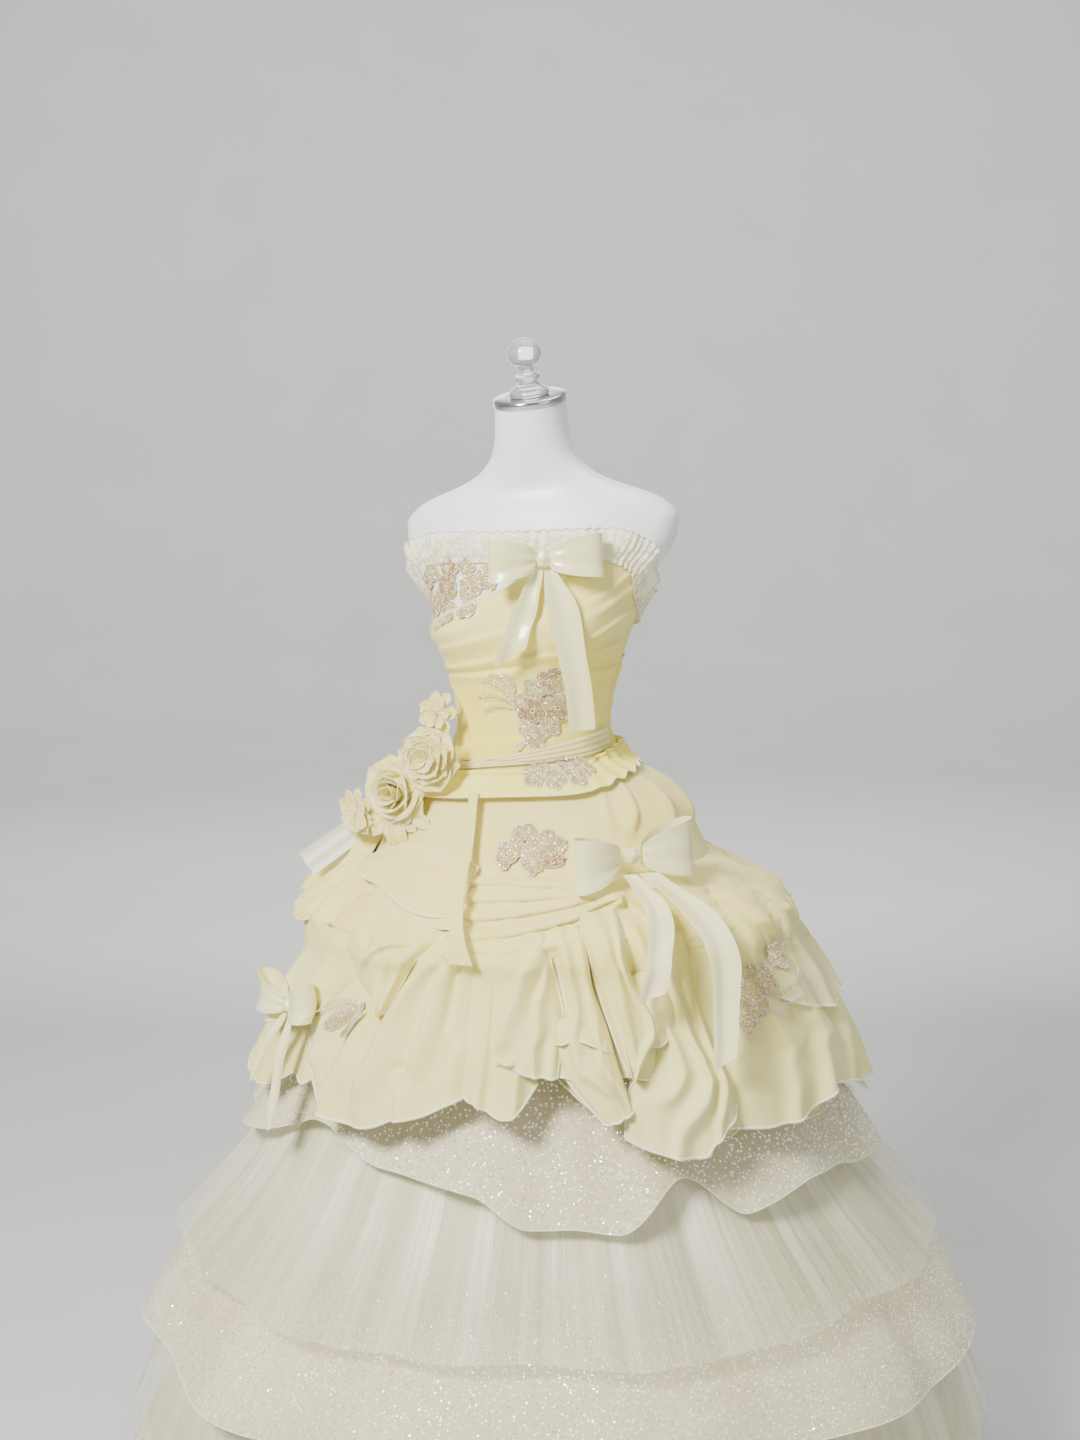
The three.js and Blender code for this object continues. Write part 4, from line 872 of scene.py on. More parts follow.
# bright band, smooth at the front and pleated towards the wearer's left
band = {"columns": 440, "rows": 16, "tall": 0.034, "out": 0.007, "flare": 0.004, "roll": 0.0022, "pleats": 34,
        "pleatDepth": 0.0026, "pleatDrop": 0.0025, "cord": 0.0011}
a, t = lattice(-180, 180, band["columns"], band["rows"])
pleated = smooth(36, 56, a) * (1 - smooth(104, 130, a)) + 0.55 * smooth(120, 160, np.abs(a))
z = along(bandMiddle, 1, a) + band["tall"] * (t - 0.5) * (1 - 0.22 * smooth(-30, 60, a) * (1 - smooth(120, 170, a)))
z += band["pleatDrop"] * pleated * np.sin(a * rad * band["pleats"]) * (1 - t)
out = band["out"] + band["flare"] * (1 - t)
out = out + band["pleatDepth"] * pleated * np.sin(a * rad * band["pleats"] + 1.2 * t)
out += band["roll"] * bell(t - 0.93, 0.06) - 0.002 * bell(t - 0.8, 0.05) + 0.0012 * bell(t, 0.08)
out += 0.0006 * np.sin(a * rad * 9 + t * 4) * np.sin(t * pi)
bandSheet = overHip(a, z, out)
cloth("band_cloth", ringShape(bandSheet, band["cord"]), [bandSheet], ["band", "hem"], ["hip_band"])
print("bodice made")

# underskirt, and the glitter and pleated tiers over it: profiles are (height, stand-off)
a, t = lattice(0, 360, 150, 40)
underSheet = onSkirt(a, mix(skirtRows[0][0], bodice["waist"] - 0.0003, t), 0)
shape = newShape()
addGrid(shape, underSheet, ring=True)
addTube(shape, underSheet[:-1, 0] + np.array([0, 0, 0.001]), 0.001, closed=True)
cloth("underskirt_cloth", shape, [underSheet], ["lining", "hem"], ["underskirt"])

tiers = [
    {"name": "glitter_tier_1", "waves": 12, "depth": 0.009, "turn": 0.4, "scallop": 0,
     "profile": [(555, 62), (600, 54), (660, 43), (700, 38), (740, 29), (770, 14), (800, 2)]},
    {"name": "pleated_tier_1", "waves": 15, "depth": 0.006, "turn": 0.1, "scallop": 0.007,
     "profile": [(440, 72), (480, 60), (520, 46), (560, 31), (600, 22), (640, 13), (680, 2)]},
    {"name": "glitter_tier_2", "waves": 12, "depth": 0.009, "turn": 1.3, "scallop": 0.016,
     "profile": [(320, 54), (360, 50), (400, 43), (445, 28), (480, 16), (520, 2)]},
    {"name": "pleated_tier_2", "waves": 15, "depth": 0.006, "turn": 0.5, "scallop": 0.007,
     "profile": [(185, 55), (230, 43), (280, 32), (330, 22), (380, 14), (420, 2)]},
    {"name": "glitter_tier_3", "waves": 12, "depth": 0.008, "turn": 2.1, "scallop": 0.012,
     "profile": [(98, 48), (140, 38), (180, 28), (220, 14), (260, 2)]},
    {"name": "pleated_tier_3", "waves": 15, "depth": 0.005, "turn": 0.8, "scallop": 0,
     "profile": [(18, 38), (60, 31), (100, 22), (140, 12), (180, 2)]}]
tierSet = {"soft": 0.0045,
           "glitter": {"columns": 480, "rows": 20, "cord": 0.0009, "cordSlot": 1, "waves": (19, 26, 33)},
           "pleated": {"columns": 960, "rows": 13, "cord": 0.0004, "cordSlot": 0, "waves": (22, 29, 37)}}
pleatSet = {"pleats": 240, "depth": 0.0007, "streaks": (47, 61, 83, 109), "streakDepth": 0.0016}
flakeSet = {"count": 9000, "size": 0.0010, "tilt": 0.55, "lift": 0.0008}


# glitter flakes scattered over a sheet, more of them towards its hem
def addFlakes(shape, sheet, number):
    chance = np.random.default_rng(60 + number)
    count = flakeSet["count"]
    i = chance.integers(0, sheet.shape[0] - 1, count)
    j = np.minimum((chance.uniform(0, 1, count) ** 1.15 * (sheet.shape[1] - 1)).astype(int), sheet.shape[1] - 2)
    mixBy, mixUp = chance.uniform(0, 1, (count, 1)), chance.uniform(0, 1, (count, 1))
    corner, right, above = sheet[i, j], sheet[i + 1, j], sheet[i, j + 1]
    normal = unit(np.cross(right - corner, above - corner), 1e-12)
    centre = corner + (right - corner) * mixBy + (above - corner) * mixUp + normal * flakeSet["lift"]
    addFacets(shape, centre, normal, flakeSet["size"], 4, 2, 80 + number, flakeSet["tilt"])


for number, tier in enumerate(tiers):
    kind = tier["name"].split("_")[0]
    made = tierSet[kind]
    profile = np.array(tier["profile"]) / 1000
    a, t = lattice(0, 360, made["columns"], made["rows"])
    ripple = tier["scallop"] * (0.5 + 0.5 * np.sin(a * rad * 7 + tier["turn"]))
    hem = along(firstTierHem, 1, wrap(a)) if number == 0 else profile[0, 0] + ripple
    folds = sum(np.sin(a * rad * n + tier["turn"] * n) for n in made["waves"]) / 3
    wave = tier["depth"] * (1 - t) * np.sin(a * rad * tier["waves"] + tier["turn"]) + tierSet["soft"] * folds * (
        1 - t) ** 0.6
    z = mix(hem + 0.003 * folds * (1 - t), profile[-1, 0], t)
    wave += 0.0010 * swell(30 + number, np.cos(a * rad) * 0.5 + np.sin(a * rad) * 0.3, z, 0.08)
    if kind == "pleated":
        fine = np.abs((a * pleatSet["pleats"] / 360) % 1 - 0.5) * 4 - 1
        streak = sum(np.sin(a * rad * n + n * 0.7 + number) for n in pleatSet["streaks"]) / 4
        wave += (pleatSet["depth"] * fine * (0.35 + 0.65 * (1 - t)) * (0.75 + 0.25 * folds)
                 + pleatSet["streakDepth"] * streak)
    sheet = onSkirt(a, z, along(profile, 1, z) + wave)
    shape = ringShape(sheet, made["cord"], sides=4, slot=made["cordSlot"])
    used = [kind, "hem"]
    if kind == "glitter":
        addFlakes(shape, sheet, number)
        used.append("glint")
    cloth(f"{tier['name']}_cloth", shape, [sheet], used, [tier["name"]])
print("skirt tiers made")

# yoke: smooth over the front, with slack folds towards the bow at the wearer's left
skirtMetre = 0.31 * rad        # metres of cloth to a degree round the hip
yoke = {"columns": 250, "rows": 42, "high": 1.3, "pleats": 26, "pleatDepth": 0.0035, "swell": 0.0016, "cord": 0.001,
        "folds": [
            ([(60, 1070), (58, 1030), (52, 995)], 6, 20, 6, 0.5, 0.2),
            ([(76, 1078), (78, 1040), (70, 990), (60, 968)], 6, 22, 7, 0.4, 0.2),
            ([(96, 1080), (98, 1040), (90, 995)], 7, 22, 6, 0.4, 0.2),
            ([(48, 1062), (46, 1030), (46, 1000)], 6, 14, 3.5, 0.5, 0.2),
            ([(-50, 1060), (-60, 1020), (-70, 980)], 6, 20, 5, 0.4, 0.3),
            ([(-84, 1070), (-92, 1020), (-98, 975)], 6, 20, 6, 0.4, 0.3),
            ([(10, 1030), (0, 990), (-6, 965)], 10, 24, 1.6, 0, 0.3),
            ([(30, 1020), (38, 985), (42, 955)], 8, 22, 2.6, 0, 0.4)]}
a, t = lattice(-180, 180, yoke["columns"], yoke["rows"])
z = mix(yokeRows[0][0], yokeRows[-1][0], t)
pleat = yoke["pleatDepth"] * np.sin(a * rad * yoke["pleats"]) * smooth(112, 140, np.abs(a)) * smooth(0.1, 0.7, t)
yokeFolds = drawn(yoke["folds"], skirtMetre, yoke["high"])
out = standOff(yokeRows, a, z) + foldField(a * skirtMetre, z, yokeFolds) + pleat
out += yoke["swell"] * swell(21, a * skirtMetre, z, 0.16) * smooth(0, 0.2, 1 - t)
yokeSheet = onSkirt(a, z, out)
cloth("yoke_cloth", ringShape(yokeSheet, yoke["cord"]), [yokeSheet], ["over", "hem"], ["overskirt_yoke"])


# patch between four edges of (angle, height) points; the side edges list only what lies between the corners
def patch(spec, columns, rows):
    s = np.linspace(0, 1, columns + 1)[:, None, None]
    t = np.linspace(0, 1, rows + 1)[None, :, None]
    top, low = spec["top"], spec["low"]
    left, right = [top[0], *spec["left"], low[0]], [top[-1], *spec["right"], low[-1]]
    top, low = (smoothLine(np.array(edge) / (1, 1000), columns + 1)[:, None] for edge in (top, low))
    left, right = (smoothLine(np.array(edge) / (1, 1000), rows + 1)[None] for edge in (left, right))
    corners = ((1 - s) * (1 - t) * top[:1] + s * (1 - t) * top[-1:] + (1 - s) * t * low[:1] + s * t * low[-1:])
    plane = (1 - t) * top + t * low + (1 - s) * left + s * right - corners
    full = np.zeros(plane.shape[:2])
    return plane[..., 0], plane[..., 1], s[..., 0] + full, t[..., 0] + full


# loose panels over the skirt; a fold runs down one: (s above, s below, width, height, how much is kept above),
# and a crease runs through (s, t) points
panelSet = {"detail": 0.76, "folds": 1.5, "creases": 1.3, "lift": 0.004, "bulge": 1.5, "edge": 0.75}
plainPanel = {"frills": 3, "lift": 0, "lowLift": 0, "bulge": 0, "frill": 4.5, "tuck": 4, "sink": 0,
              "folds": [], "creases": [], "cords": {"low": 1.3}}


def panelSheet(spec):
    spec = {**plainPanel, **spec}
    seed, turns, sink = spec["seed"], spec["frills"], spec["sink"]
    lift, lowLift, bulge, frill, tuck = (spec[k] / 1000 for k in ("lift", "lowLift", "bulge", "frill", "tuck"))
    a, z, s, t = patch(spec, round(spec["columns"] * panelSet["detail"]), round(spec["rows"] * panelSet["detail"]))
    lift = lift + (lowLift + panelSet["lift"]) * t + panelSet["bulge"] * bulge * (
        np.sin(pi * s) ** 0.8 * np.sin(pi * np.clip(0.15 + 0.75 * t, 0, 1)))
    folds = [([(p, 0.0), (mix(p, q, 0.5) + 0.02, 0.5), (q, 1.0)], w * 0.7, w * 1.3, h / 1000 * panelSet["folds"], keep,
              1.0) for p, q, w, h, keep in spec["folds"]]
    creases = [(line, near, far, h / 1000 * panelSet["creases"], *keep)
               for line, near, far, h, *keep in spec["creases"]]
    lift = lift + foldField(s, t, folds) + foldField(s, t, creases)
    lift = lift + frill * t**2.5 * np.sin(
        2 * pi * turns * (s + 0.05 * np.sin(7 * s + seed)) + seed + 1.2 * t)
    lift = lift + 0.0016 * swell(seed, s, t, 0.6) + 0.0007 * swell(seed + 1, s, t, 0.2)
    lift = lift * (1 - panelSet["edge"] * (1 - 0.5 * t) * (bell(s, 0.06) + bell(1 - s, 0.06)))
    lift = lift - tuck * (bell(t, 0.06) + 0.5 * bell(s, 0.03) + 0.5 * bell(1 - s, 0.03))
    lift = lift * (1 - sink * smooth(0.82, 1, s)) - 0.012 * sink * smooth(0.9, 1, s)
    return onSkirt(a, z, standOff(overRows, a, z) + lift)


def addPanel(shape, spec, slot=0):
    sheet = panelSheet(spec)
    addGrid(shape, sheet, slot, turned=True)
    for name, size in spec.get("cords", plainPanel["cords"]).items():
        edge = {"low": sheet[:, -1], "top": sheet[:, 0], "left": sheet[0], "right": sheet[-1]}[name]
        addTube(shape, edge, size / 1000)
    return sheet


# flounce: the lowest ring, with two broad lobes lying on its front
flounce = {"columns": 420, "rows": 32, "top": 0.922, "waves": 12, "depth": 0.011, "turn": 0.9, "hemWave": 0.01,
           "high": 1.5, "swell": 0.004, "fine": 0.0035, "cord": 0.0013,
           "folds": [
               ([(-120, 860), (-124, 660)], 10, 30, 10, 0.2, 1), ([(-100, 870), (-100, 680)], 10, 26, 9, 0.2, 1),
               ([(-78, 860), (-76, 690)], 10, 30, 8, 0.2, 1), ([(-60, 850), (-56, 670)], 10, 24, 7, 0.2, 1),
               ([(130, 860), (134, 670)], 10, 30, 10, 0.2, 1), ([(150, 870), (150, 640)], 10, 26, 9, 0.2, 1),
               ([(172, 860), (170, 650)], 10, 30, 10, 0.2, 1), ([(-164, 860), (-160, 660)], 10, 28, 9, 0.2, 1),
               ([(-142, 870), (-140, 680)], 10, 26, 9, 0.2, 1)]}
lobes = [
    {"seed": 41, "columns": 150, "rows": 90, "frill": 3, "lowLift": 4, "bulge": 7,
     "cords": {"low": 1.7, "left": 1.3},
     "top": [(-42, 835), (-28, 848), (-15, 852), (-9, 880), (-2, 902), (5, 904)],
     "low": [
         (-30, 708), (-27, 697), (-23.6, 681), (-17, 671), (-12, 674), (-7.9, 686), (-3, 694), (1.2, 708),
         (5, 720)], "left": [(-40, 790), (-35, 745)], "right": [(4.5, 868), (4.5, 800)],
     "creases": [
         ([(0.93, 0.05), (0.86, 0.2), (0.9, 0.36), (0.99, 0.46)], 0.025, 0.06, 10, 0.3, 0.2),
         ([(0.98, 0.3), (0.9, 0.42), (0.84, 0.6)], 0.015, 0.03, -6, 0.2, 0),
         ([(0.78, 0.1), (0.66, 0.32), (0.5, 0.62), (0.44, 0.86)], 0.035, 0.1, 14, 0.4, 0.3),
         ([(0.86, 0.3), (0.78, 0.52), (0.68, 0.78), (0.66, 1.0)], 0.03, 0.08, 11, 0.1, 0.9),
         ([(0.56, 0.22), (0.4, 0.48), (0.26, 0.78), (0.22, 1.0)], 0.03, 0.09, 11, 0.2, 0.8),
         ([(0.34, 0.2), (0.18, 0.5), (0.06, 0.74)], 0.03, 0.07, 9, 0.2, 0.5),
         ([(0.62, 0.6), (0.71, 0.71), (0.66, 0.84)], 0.02, 0.04, -4, 0, 0),
         ([(0.94, 0.6), (0.92, 0.8), (0.93, 1.0)], 0.02, 0.05, 6, 0, 0.8)]},
    {"seed": 43, "columns": 60, "rows": 80, "frills": 2, "lift": 1.5, "lowLift": 4, "bulge": 4, "tuck": 3,
     "top": [(2.5, 905), (10, 912), (20, 914)],
     "low": [(3.5, 722), (7.6, 707), (11.2, 698), (13.8, 706), (17, 734)], "left": [(2.5, 850), (3, 790)],
     "right": [(19, 860), (18, 800)], "folds": [(0.3, 0.25, 0.05, 5, 0.4), (0.75, 0.7, 0.06, 5, 0.4)]}]
a, t = lattice(-180, 180, flounce["columns"], flounce["rows"])
hem = along(flounceHem, 1, a)
front = smooth(-34, -26, a) * (1 - smooth(46, 52, a))
z = mix(hem + 0.022 * front + flounce["hemWave"] * np.sin(a * rad * 17 + 1) * (1 - front), flounce["top"], t)
grow = np.clip((flounce["top"] - z) / (flounce["top"] - 0.64), 0, 1)
wave = flounce["depth"] * grow * np.sin(a * rad * flounce["waves"] + flounce["turn"]) * (1 - 0.8 * front)
out = standOff(flounceRows, a, z) + wave - 0.004 * front
flounceFolds = drawn(flounce["folds"], skirtMetre, flounce["high"])
out += foldField(a * skirtMetre, z, flounceFolds) + flounce["swell"] * swell(44, a * skirtMetre, z, 0.12)
out += flounce["fine"] * grow * np.sin(a * rad * 29 + 2 * np.sin(a * rad * 5)) * (1 - front)
flounceSheet = onSkirt(a, z, out)
shape = ringShape(flounceSheet, flounce["cord"])
sheets = [flounceSheet] + [addPanel(shape, spec) for spec in lobes]
cloth("flounce_cloth", shape, sheets, ["overPale", "hem"], ["overskirt_flounce"])

# folded jabots at the front: the ground behind them, and the falls, a roll and a frill that lie on it
jabots = [
    {"seed": 50, "columns": 150, "rows": 60, "frills": 5, "lift": -1, "bulge": 1,
     "top": [(3, 905), (20, 912), (38, 916), (54, 900)], "low": [(4, 750), (20, 742), (36, 735), (53, 715)],
     "left": [(3, 830)], "right": [(54, 800)],
     "folds": [
         (0.2, 0.18, 0.04, 4, 0.5), (0.42, 0.4, 0.04, 4, 0.5), (0.62, 0.64, 0.04, 4, 0.5),
         (0.85, 0.84, 0.04, 4, 0.5)]},
    {"seed": 51, "columns": 80, "rows": 90, "frills": 2, "lift": 6, "lowLift": 6, "bulge": 5,
     "cords": {"low": 1.7, "left": 1.1, "right": 1.3}, "top": [(6.3, 886), (12, 896), (19.5, 902)],
     "low": [(9.1, 757), (12.7, 754), (15.5, 747), (20.5, 742)], "left": [(5.0, 839), (6.5, 788)],
     "right": [(20.5, 865), (22.3, 811), (21.3, 772)],
     "creases": [
         ([(0.95, 0.02), (0.62, 0.22), (0.3, 0.5), (0.12, 0.8)], 0.05, 0.13, 10, 0.6, 0.4),
         ([(0.98, 0.2), (0.74, 0.45), (0.62, 0.75), (0.66, 1.0)], 0.04, 0.1, 8, 0.5, 0.8),
         ([(0.05, 0.92), (0.22, 0.97), (0.4, 0.93)], 0.03, 0.05, 8, 0.4, 0)]},
    {"seed": 53, "columns": 60, "rows": 100, "frills": 1.5, "lift": 9, "lowLift": 6, "bulge": 4,
     "cords": {"low": 1.7, "left": 1.6}, "top": [(21, 906), (24, 908), (28, 908)],
     "low": [(27.9, 690), (29.2, 694), (31, 700), (32.8, 705)],
     "left": [(22.1, 852), (22.9, 809), (20.4, 777), (21.9, 741)], "right": [(28.8, 839), (30.6, 796), (31.5, 754)],
     "creases": [
         ([(0.2, 0.0), (0.35, 0.3), (0.25, 0.55), (0.6, 0.8), (0.7, 1.0)], 0.07, 0.16, 9, 0.6, 0.7),
         ([(0.75, 0.05), (0.85, 0.35), (0.65, 0.6), (0.9, 0.85)], 0.06, 0.12, 8, 0.5, 0.5)]},
    {"seed": 55, "columns": 70, "rows": 90, "frills": 2, "lift": 13, "lowLift": 6, "bulge": 6,
     "cords": {"left": 1.6, "right": 1.6}, "top": [(27, 918), (32, 922), (38, 922)],
     "low": [(33.0, 741), (33.3, 739), (33.6, 741)], "left": [(28.6, 869), (30.1, 821)],
     "right": [(36.0, 868), (40.2, 799), (36.5, 757)],
     "creases": [
         ([(0.3, 0.0), (0.5, 0.25), (0.3, 0.5), (0.5, 0.85)], 0.07, 0.15, 10, 0.6, 0.4),
         ([(0.8, 0.0), (0.7, 0.3), (0.85, 0.55), (0.6, 0.85)], 0.06, 0.12, 9, 0.5, 0.4)]},
    {"seed": 58, "columns": 44, "rows": 50, "frills": 1, "frill": 2, "lift": 10, "bulge": 10, "tuck": 8,
     "cords": {"low": 1.2, "left": 1}, "top": [(36.5, 846), (39.5, 853), (43.5, 845)],
     "low": [(36, 778), (39, 770), (42.5, 780)], "left": [(35, 812)], "right": [(45, 812)],
     "creases": [([(0.5, 0.05), (0.3, 0.4), (0.5, 0.9)], 0.1, 0.16, 6, 0.4, 0.4)]},
    {"seed": 59, "columns": 60, "rows": 24, "frills": 1, "lift": 10, "lowLift": 12, "bulge": 3,
     "top": [(19.5, 806), (25, 803), (31, 796)], "low": [(20.5, 778), (25, 784), (30.5, 768)], "left": [],
     "right": []},
    {"seed": 57, "columns": 100, "rows": 90, "frills": 3.5, "lift": 3, "lowLift": 6, "bulge": 10,
     "cords": {"low": 1.7, "left": 1.3, "right": 1.2}, "top": [(37, 902), (44, 902), (51.5, 886)],
     "low": [(30.9, 675), (34.5, 662), (42.6, 648), (45.4, 663), (52.9, 696)],
     "left": [(38.2, 818), (38.7, 761), (32.5, 721)], "right": [(51.5, 800), (51.6, 740)],
     "creases": [
         ([(0.15, 0.0), (0.3, 0.3), (0.22, 0.6), (0.05, 0.9)], 0.05, 0.1, 10, 0.6, 0.5),
         ([(0.5, 0.0), (0.62, 0.3), (0.48, 0.62), (0.34, 1.0)], 0.05, 0.11, 13, 0.5, 0.8),
         ([(0.85, 0.0), (0.84, 0.35), (0.76, 0.65), (0.7, 1.0)], 0.05, 0.1, 12, 0.5, 0.8)]}]
shape = newShape()
sheets = [addPanel(shape, spec) for spec in jabots]
cloth("jabot_front_cloth", shape, sheets, ["overPale", "hem"], ["overskirt_cascade_front"])

# pointed fall at the wearer's right, and the soft one behind it
kite = {"seed": 61, "columns": 110, "rows": 80, "frills": 1.5, "lift": 8, "lowLift": 14, "bulge": 8, "tuck": 2,
        "cords": {"left": 1.6, "right": 1.7},
        "top": [(-31.3, 868), (-28.3, 903), (-25, 924), (-14, 925), (-3.5, 903)],
        "low": [(-14.6, 799), (-14.4, 798), (-14.2, 799)], "left": [(-28.8, 836)],
        "right": [(-5.4, 883), (-10.3, 856)],
        "creases": [
            ([(0.05, 0.55), (0.3, 0.42), (0.62, 0.25), (0.85, 0.2)], 0.05, 0.1, 7, 0.2, 0.2),
            ([(0.55, 0.1), (0.62, 0.4), (0.6, 0.8)], 0.05, 0.09, 5, 0.2, 0.2),
            ([(0.2, 0.05), (0.3, 0.25), (0.42, 0.3)], 0.04, 0.07, -4, 0.2, 0)]}
fall = {"seed": 63, "columns": 90, "rows": 70, "lift": 4, "lowLift": 6, "bulge": 10,
        "cords": {"low": 1.7, "left": 1.2}, "top": [(-60, 868), (-48, 880), (-34, 884), (-22, 876)],
        "low": [(-54, 744), (-48, 752), (-40, 766), (-32, 786)], "left": [(-60, 820), (-57, 780)],
        "right": [(-24, 840), (-28, 810)], "folds": [(0.3, 0.25, 0.06, 6, 0.2), (0.65, 0.7, 0.06, 6, 0.2)]}
laidSheets = {"lobe": panelSheet(lobes[0]), "fall": panelSheet(fall), "kite": panelSheet(kite)}
shape = newShape()
sheets = [addPanel(shape, fall), addPanel(shape, kite)]
cloth("kite_cloth", shape, sheets, ["overPale", "hem"], ["overskirt_cascade_right"])

# broad fall at the wearer's left, with a sheer frill over it
sideFall = [
    {"seed": 71, "sink": 1, "columns": 150, "rows": 90, "frills": 5, "lowLift": 4, "bulge": 6,
     "cords": {"low": 1.7, "left": 1.3}, "top": [(50, 892), (68.7, 902), (90, 905), (121, 912)],
     "low": [
         (49.5, 668), (53.7, 665), (58.2, 662), (64.9, 663), (70.1, 669), (75, 681), (84, 671), (95, 650),
         (106, 646)], "left": [(49.8, 800), (49.4, 740)], "right": [(117, 800), (111, 700)],
     "creases": [
         ([(0.1, 0.0), (0.13, 0.4), (0.06, 0.9)], 0.025, 0.06, 8, 0.4, 0.6),
         ([(0.28, 0.0), (0.24, 0.35), (0.3, 0.7), (0.24, 1.0)], 0.03, 0.08, 13, 0.4, 0.9),
         ([(0.52, 0.0), (0.44, 0.4), (0.5, 0.7), (0.42, 1.0)], 0.035, 0.09, 14, 0.4, 0.9),
         ([(0.7, 0.0), (0.72, 0.4), (0.63, 1.0)], 0.03, 0.08, 12, 0.4, 0.9),
         ([(0.9, 0.0), (0.86, 0.5), (0.86, 1.0)], 0.03, 0.08, 12, 0.4, 0.9)]},
    {"seed": 73, "sink": 0.8, "columns": 100, "rows": 60, "frills": 6, "lift": 8, "lowLift": 10, "bulge": 8,
     "cords": {"low": 1.7, "left": 1.2}, "top": [(66, 880), (80, 882), (96, 876), (110, 868)],
     "low": [(70, 800), (78, 776), (90, 760), (100, 764), (112, 780)], "left": [(66, 850), (68, 820)],
     "right": [(112, 840), (113, 810)],
     "folds": [(0.2, 0.18, 0.05, 6, 0.2), (0.45, 0.42, 0.05, 7, 0.2), (0.7, 0.68, 0.05, 6, 0.2)]}]
laidSheets["sideFall"], laidSheets["sideFrill"] = (panelSheet(spec) for spec in sideFall)
shape = newShape()
sheets = [addPanel(shape, sideFall[0]), addPanel(shape, sideFall[1], 2)]
cloth("side_fall_cloth", shape, sheets, ["overPale", "hem", "sheer"], ["overskirt_cascade_left"])
print("lower overskirt made")

# picked-up puffs: lower edge at each end and in the middle, top, and folds that run to a pick-up
puffs = [
    {"node": "overskirt_swag_front", "name": "swag_cloth", "first": -18, "last": 47.6, "top": 955, "start": 905,
     "middle": 866, "end": 900, "columns": 185, "seed": 81, "deep": 1.0,
     "folds": [
         ([(-16, 948), (6, 950), (24, 946), (39, 938)], 3, 7, 8, 0.2, 1),
         ([(-16, 940), (6, 943), (22, 941), (39, 937)], 2, 4, -5, 0.2, 0.6),
         ([(-15, 930), (6, 934), (22, 936), (39, 936)], 3, 7, 10, 0.2, 1),
         ([(-12, 921), (7, 926), (22, 931), (39, 935.5)], 2, 4, -5.5, 0.2, 0.6),
         ([(-10, 912), (8, 918), (24, 927), (38, 935)], 3, 7, 11, 0.2, 1),
         ([(-6, 904), (9, 910), (25, 922), (38, 934.5)], 2, 4, -5.5, 0.2, 0.6),
         ([(-4, 896), (10, 902), (26, 916), (38, 934)], 3, 8, 12, 0.2, 1),
         ([(0, 889), (13, 895), (28, 911), (38.5, 932)], 2, 4, -5.5, 0.2, 0.6),
         ([(4, 880), (16, 886), (30, 904), (39, 930)], 3, 9, 11, 0.2, 1),
         ([(46, 900), (43, 918), (40, 936)], 4, 8, 9, 0.4, 0.8)]},
    {"node": "overskirt_puff_left", "name": "puff_left_cloth", "scoops": 4, "first": 48, "last": 125.6, "top": 958,
     "start": 880, "middle": 856, "end": 880, "columns": 160, "seed": 83,
     "folds": [
         ([(51, 950), (58, 920), (62, 880)], 6, 18, 9, 0.6, 0.8),
         ([(56, 956), (72, 925), (78, 872)], 6, 20, 10, 0.5, 0.8),
         ([(70, 956), (86, 925), (94, 868)], 6, 20, 9, 0.5, 0.8),
         ([(90, 956), (100, 925), (108, 868)], 6, 18, 9, 0.5, 0.8),
         ([(112, 950), (116, 920), (120, 880)], 6, 18, 8, 0.5, 0.8)]},
    {"node": "overskirt_puff_back", "name": "puff_back_cloth", "scoops": 5, "first": 126, "last": 233.6, "top": 955,
     "start": 880, "middle": 862, "end": 880, "columns": 202, "seed": 85,
     "folds": [
         ([(128, 952), (136, 920), (140, 878)], 6, 20, 9, 0.6, 0.8),
         ([(146, 954), (156, 920), (158, 872)], 6, 22, 9, 0.5, 0.8),
         ([(172, 954), (176, 920), (176, 868)], 6, 22, 9, 0.5, 0.8),
         ([(196, 954), (194, 920), (196, 868)], 6, 22, 9, 0.5, 0.8),
         ([(216, 954), (212, 920), (210, 872)], 6, 22, 9, 0.5, 0.8),
         ([(231, 950), (228, 920), (226, 878)], 6, 20, 8, 0.6, 0.8)]},
    {"node": "overskirt_puff_right", "name": "puff_right_cloth", "scoops": 5, "first": 234, "last": 341.6,
     "top": 955, "start": 880, "middle": 862, "end": 892, "columns": 202, "seed": 87,
     "folds": [
         ([(236, 950), (244, 920), (248, 875)], 6, 20, 9, 0.6, 0.8),
         ([(256, 952), (262, 920), (264, 870)], 6, 22, 10, 0.5, 0.8),
         ([(276, 952), (280, 920), (280, 868)], 6, 20, 11, 0.5, 0.8),
         ([(294, 952), (292, 920), (296, 868)], 6, 20, 10, 0.5, 0.8),
         ([(306, 950), (314, 915), (318, 875)], 6, 20, 9, 0.5, 0.8),
         ([(322, 950), (330, 925), (336, 900)], 6, 18, 7, 0.5, 0.8)]}]
puffSet = {"rows": 40, "deep": 1.45, "cord": 0.0012, "swell": 0.004, "fineSwell": 0.0015, "scoop": 0.016,
           "belly": 0.010, "crumple": 0.0022, "lowTuck": 0.008, "topTuck": 0.014}
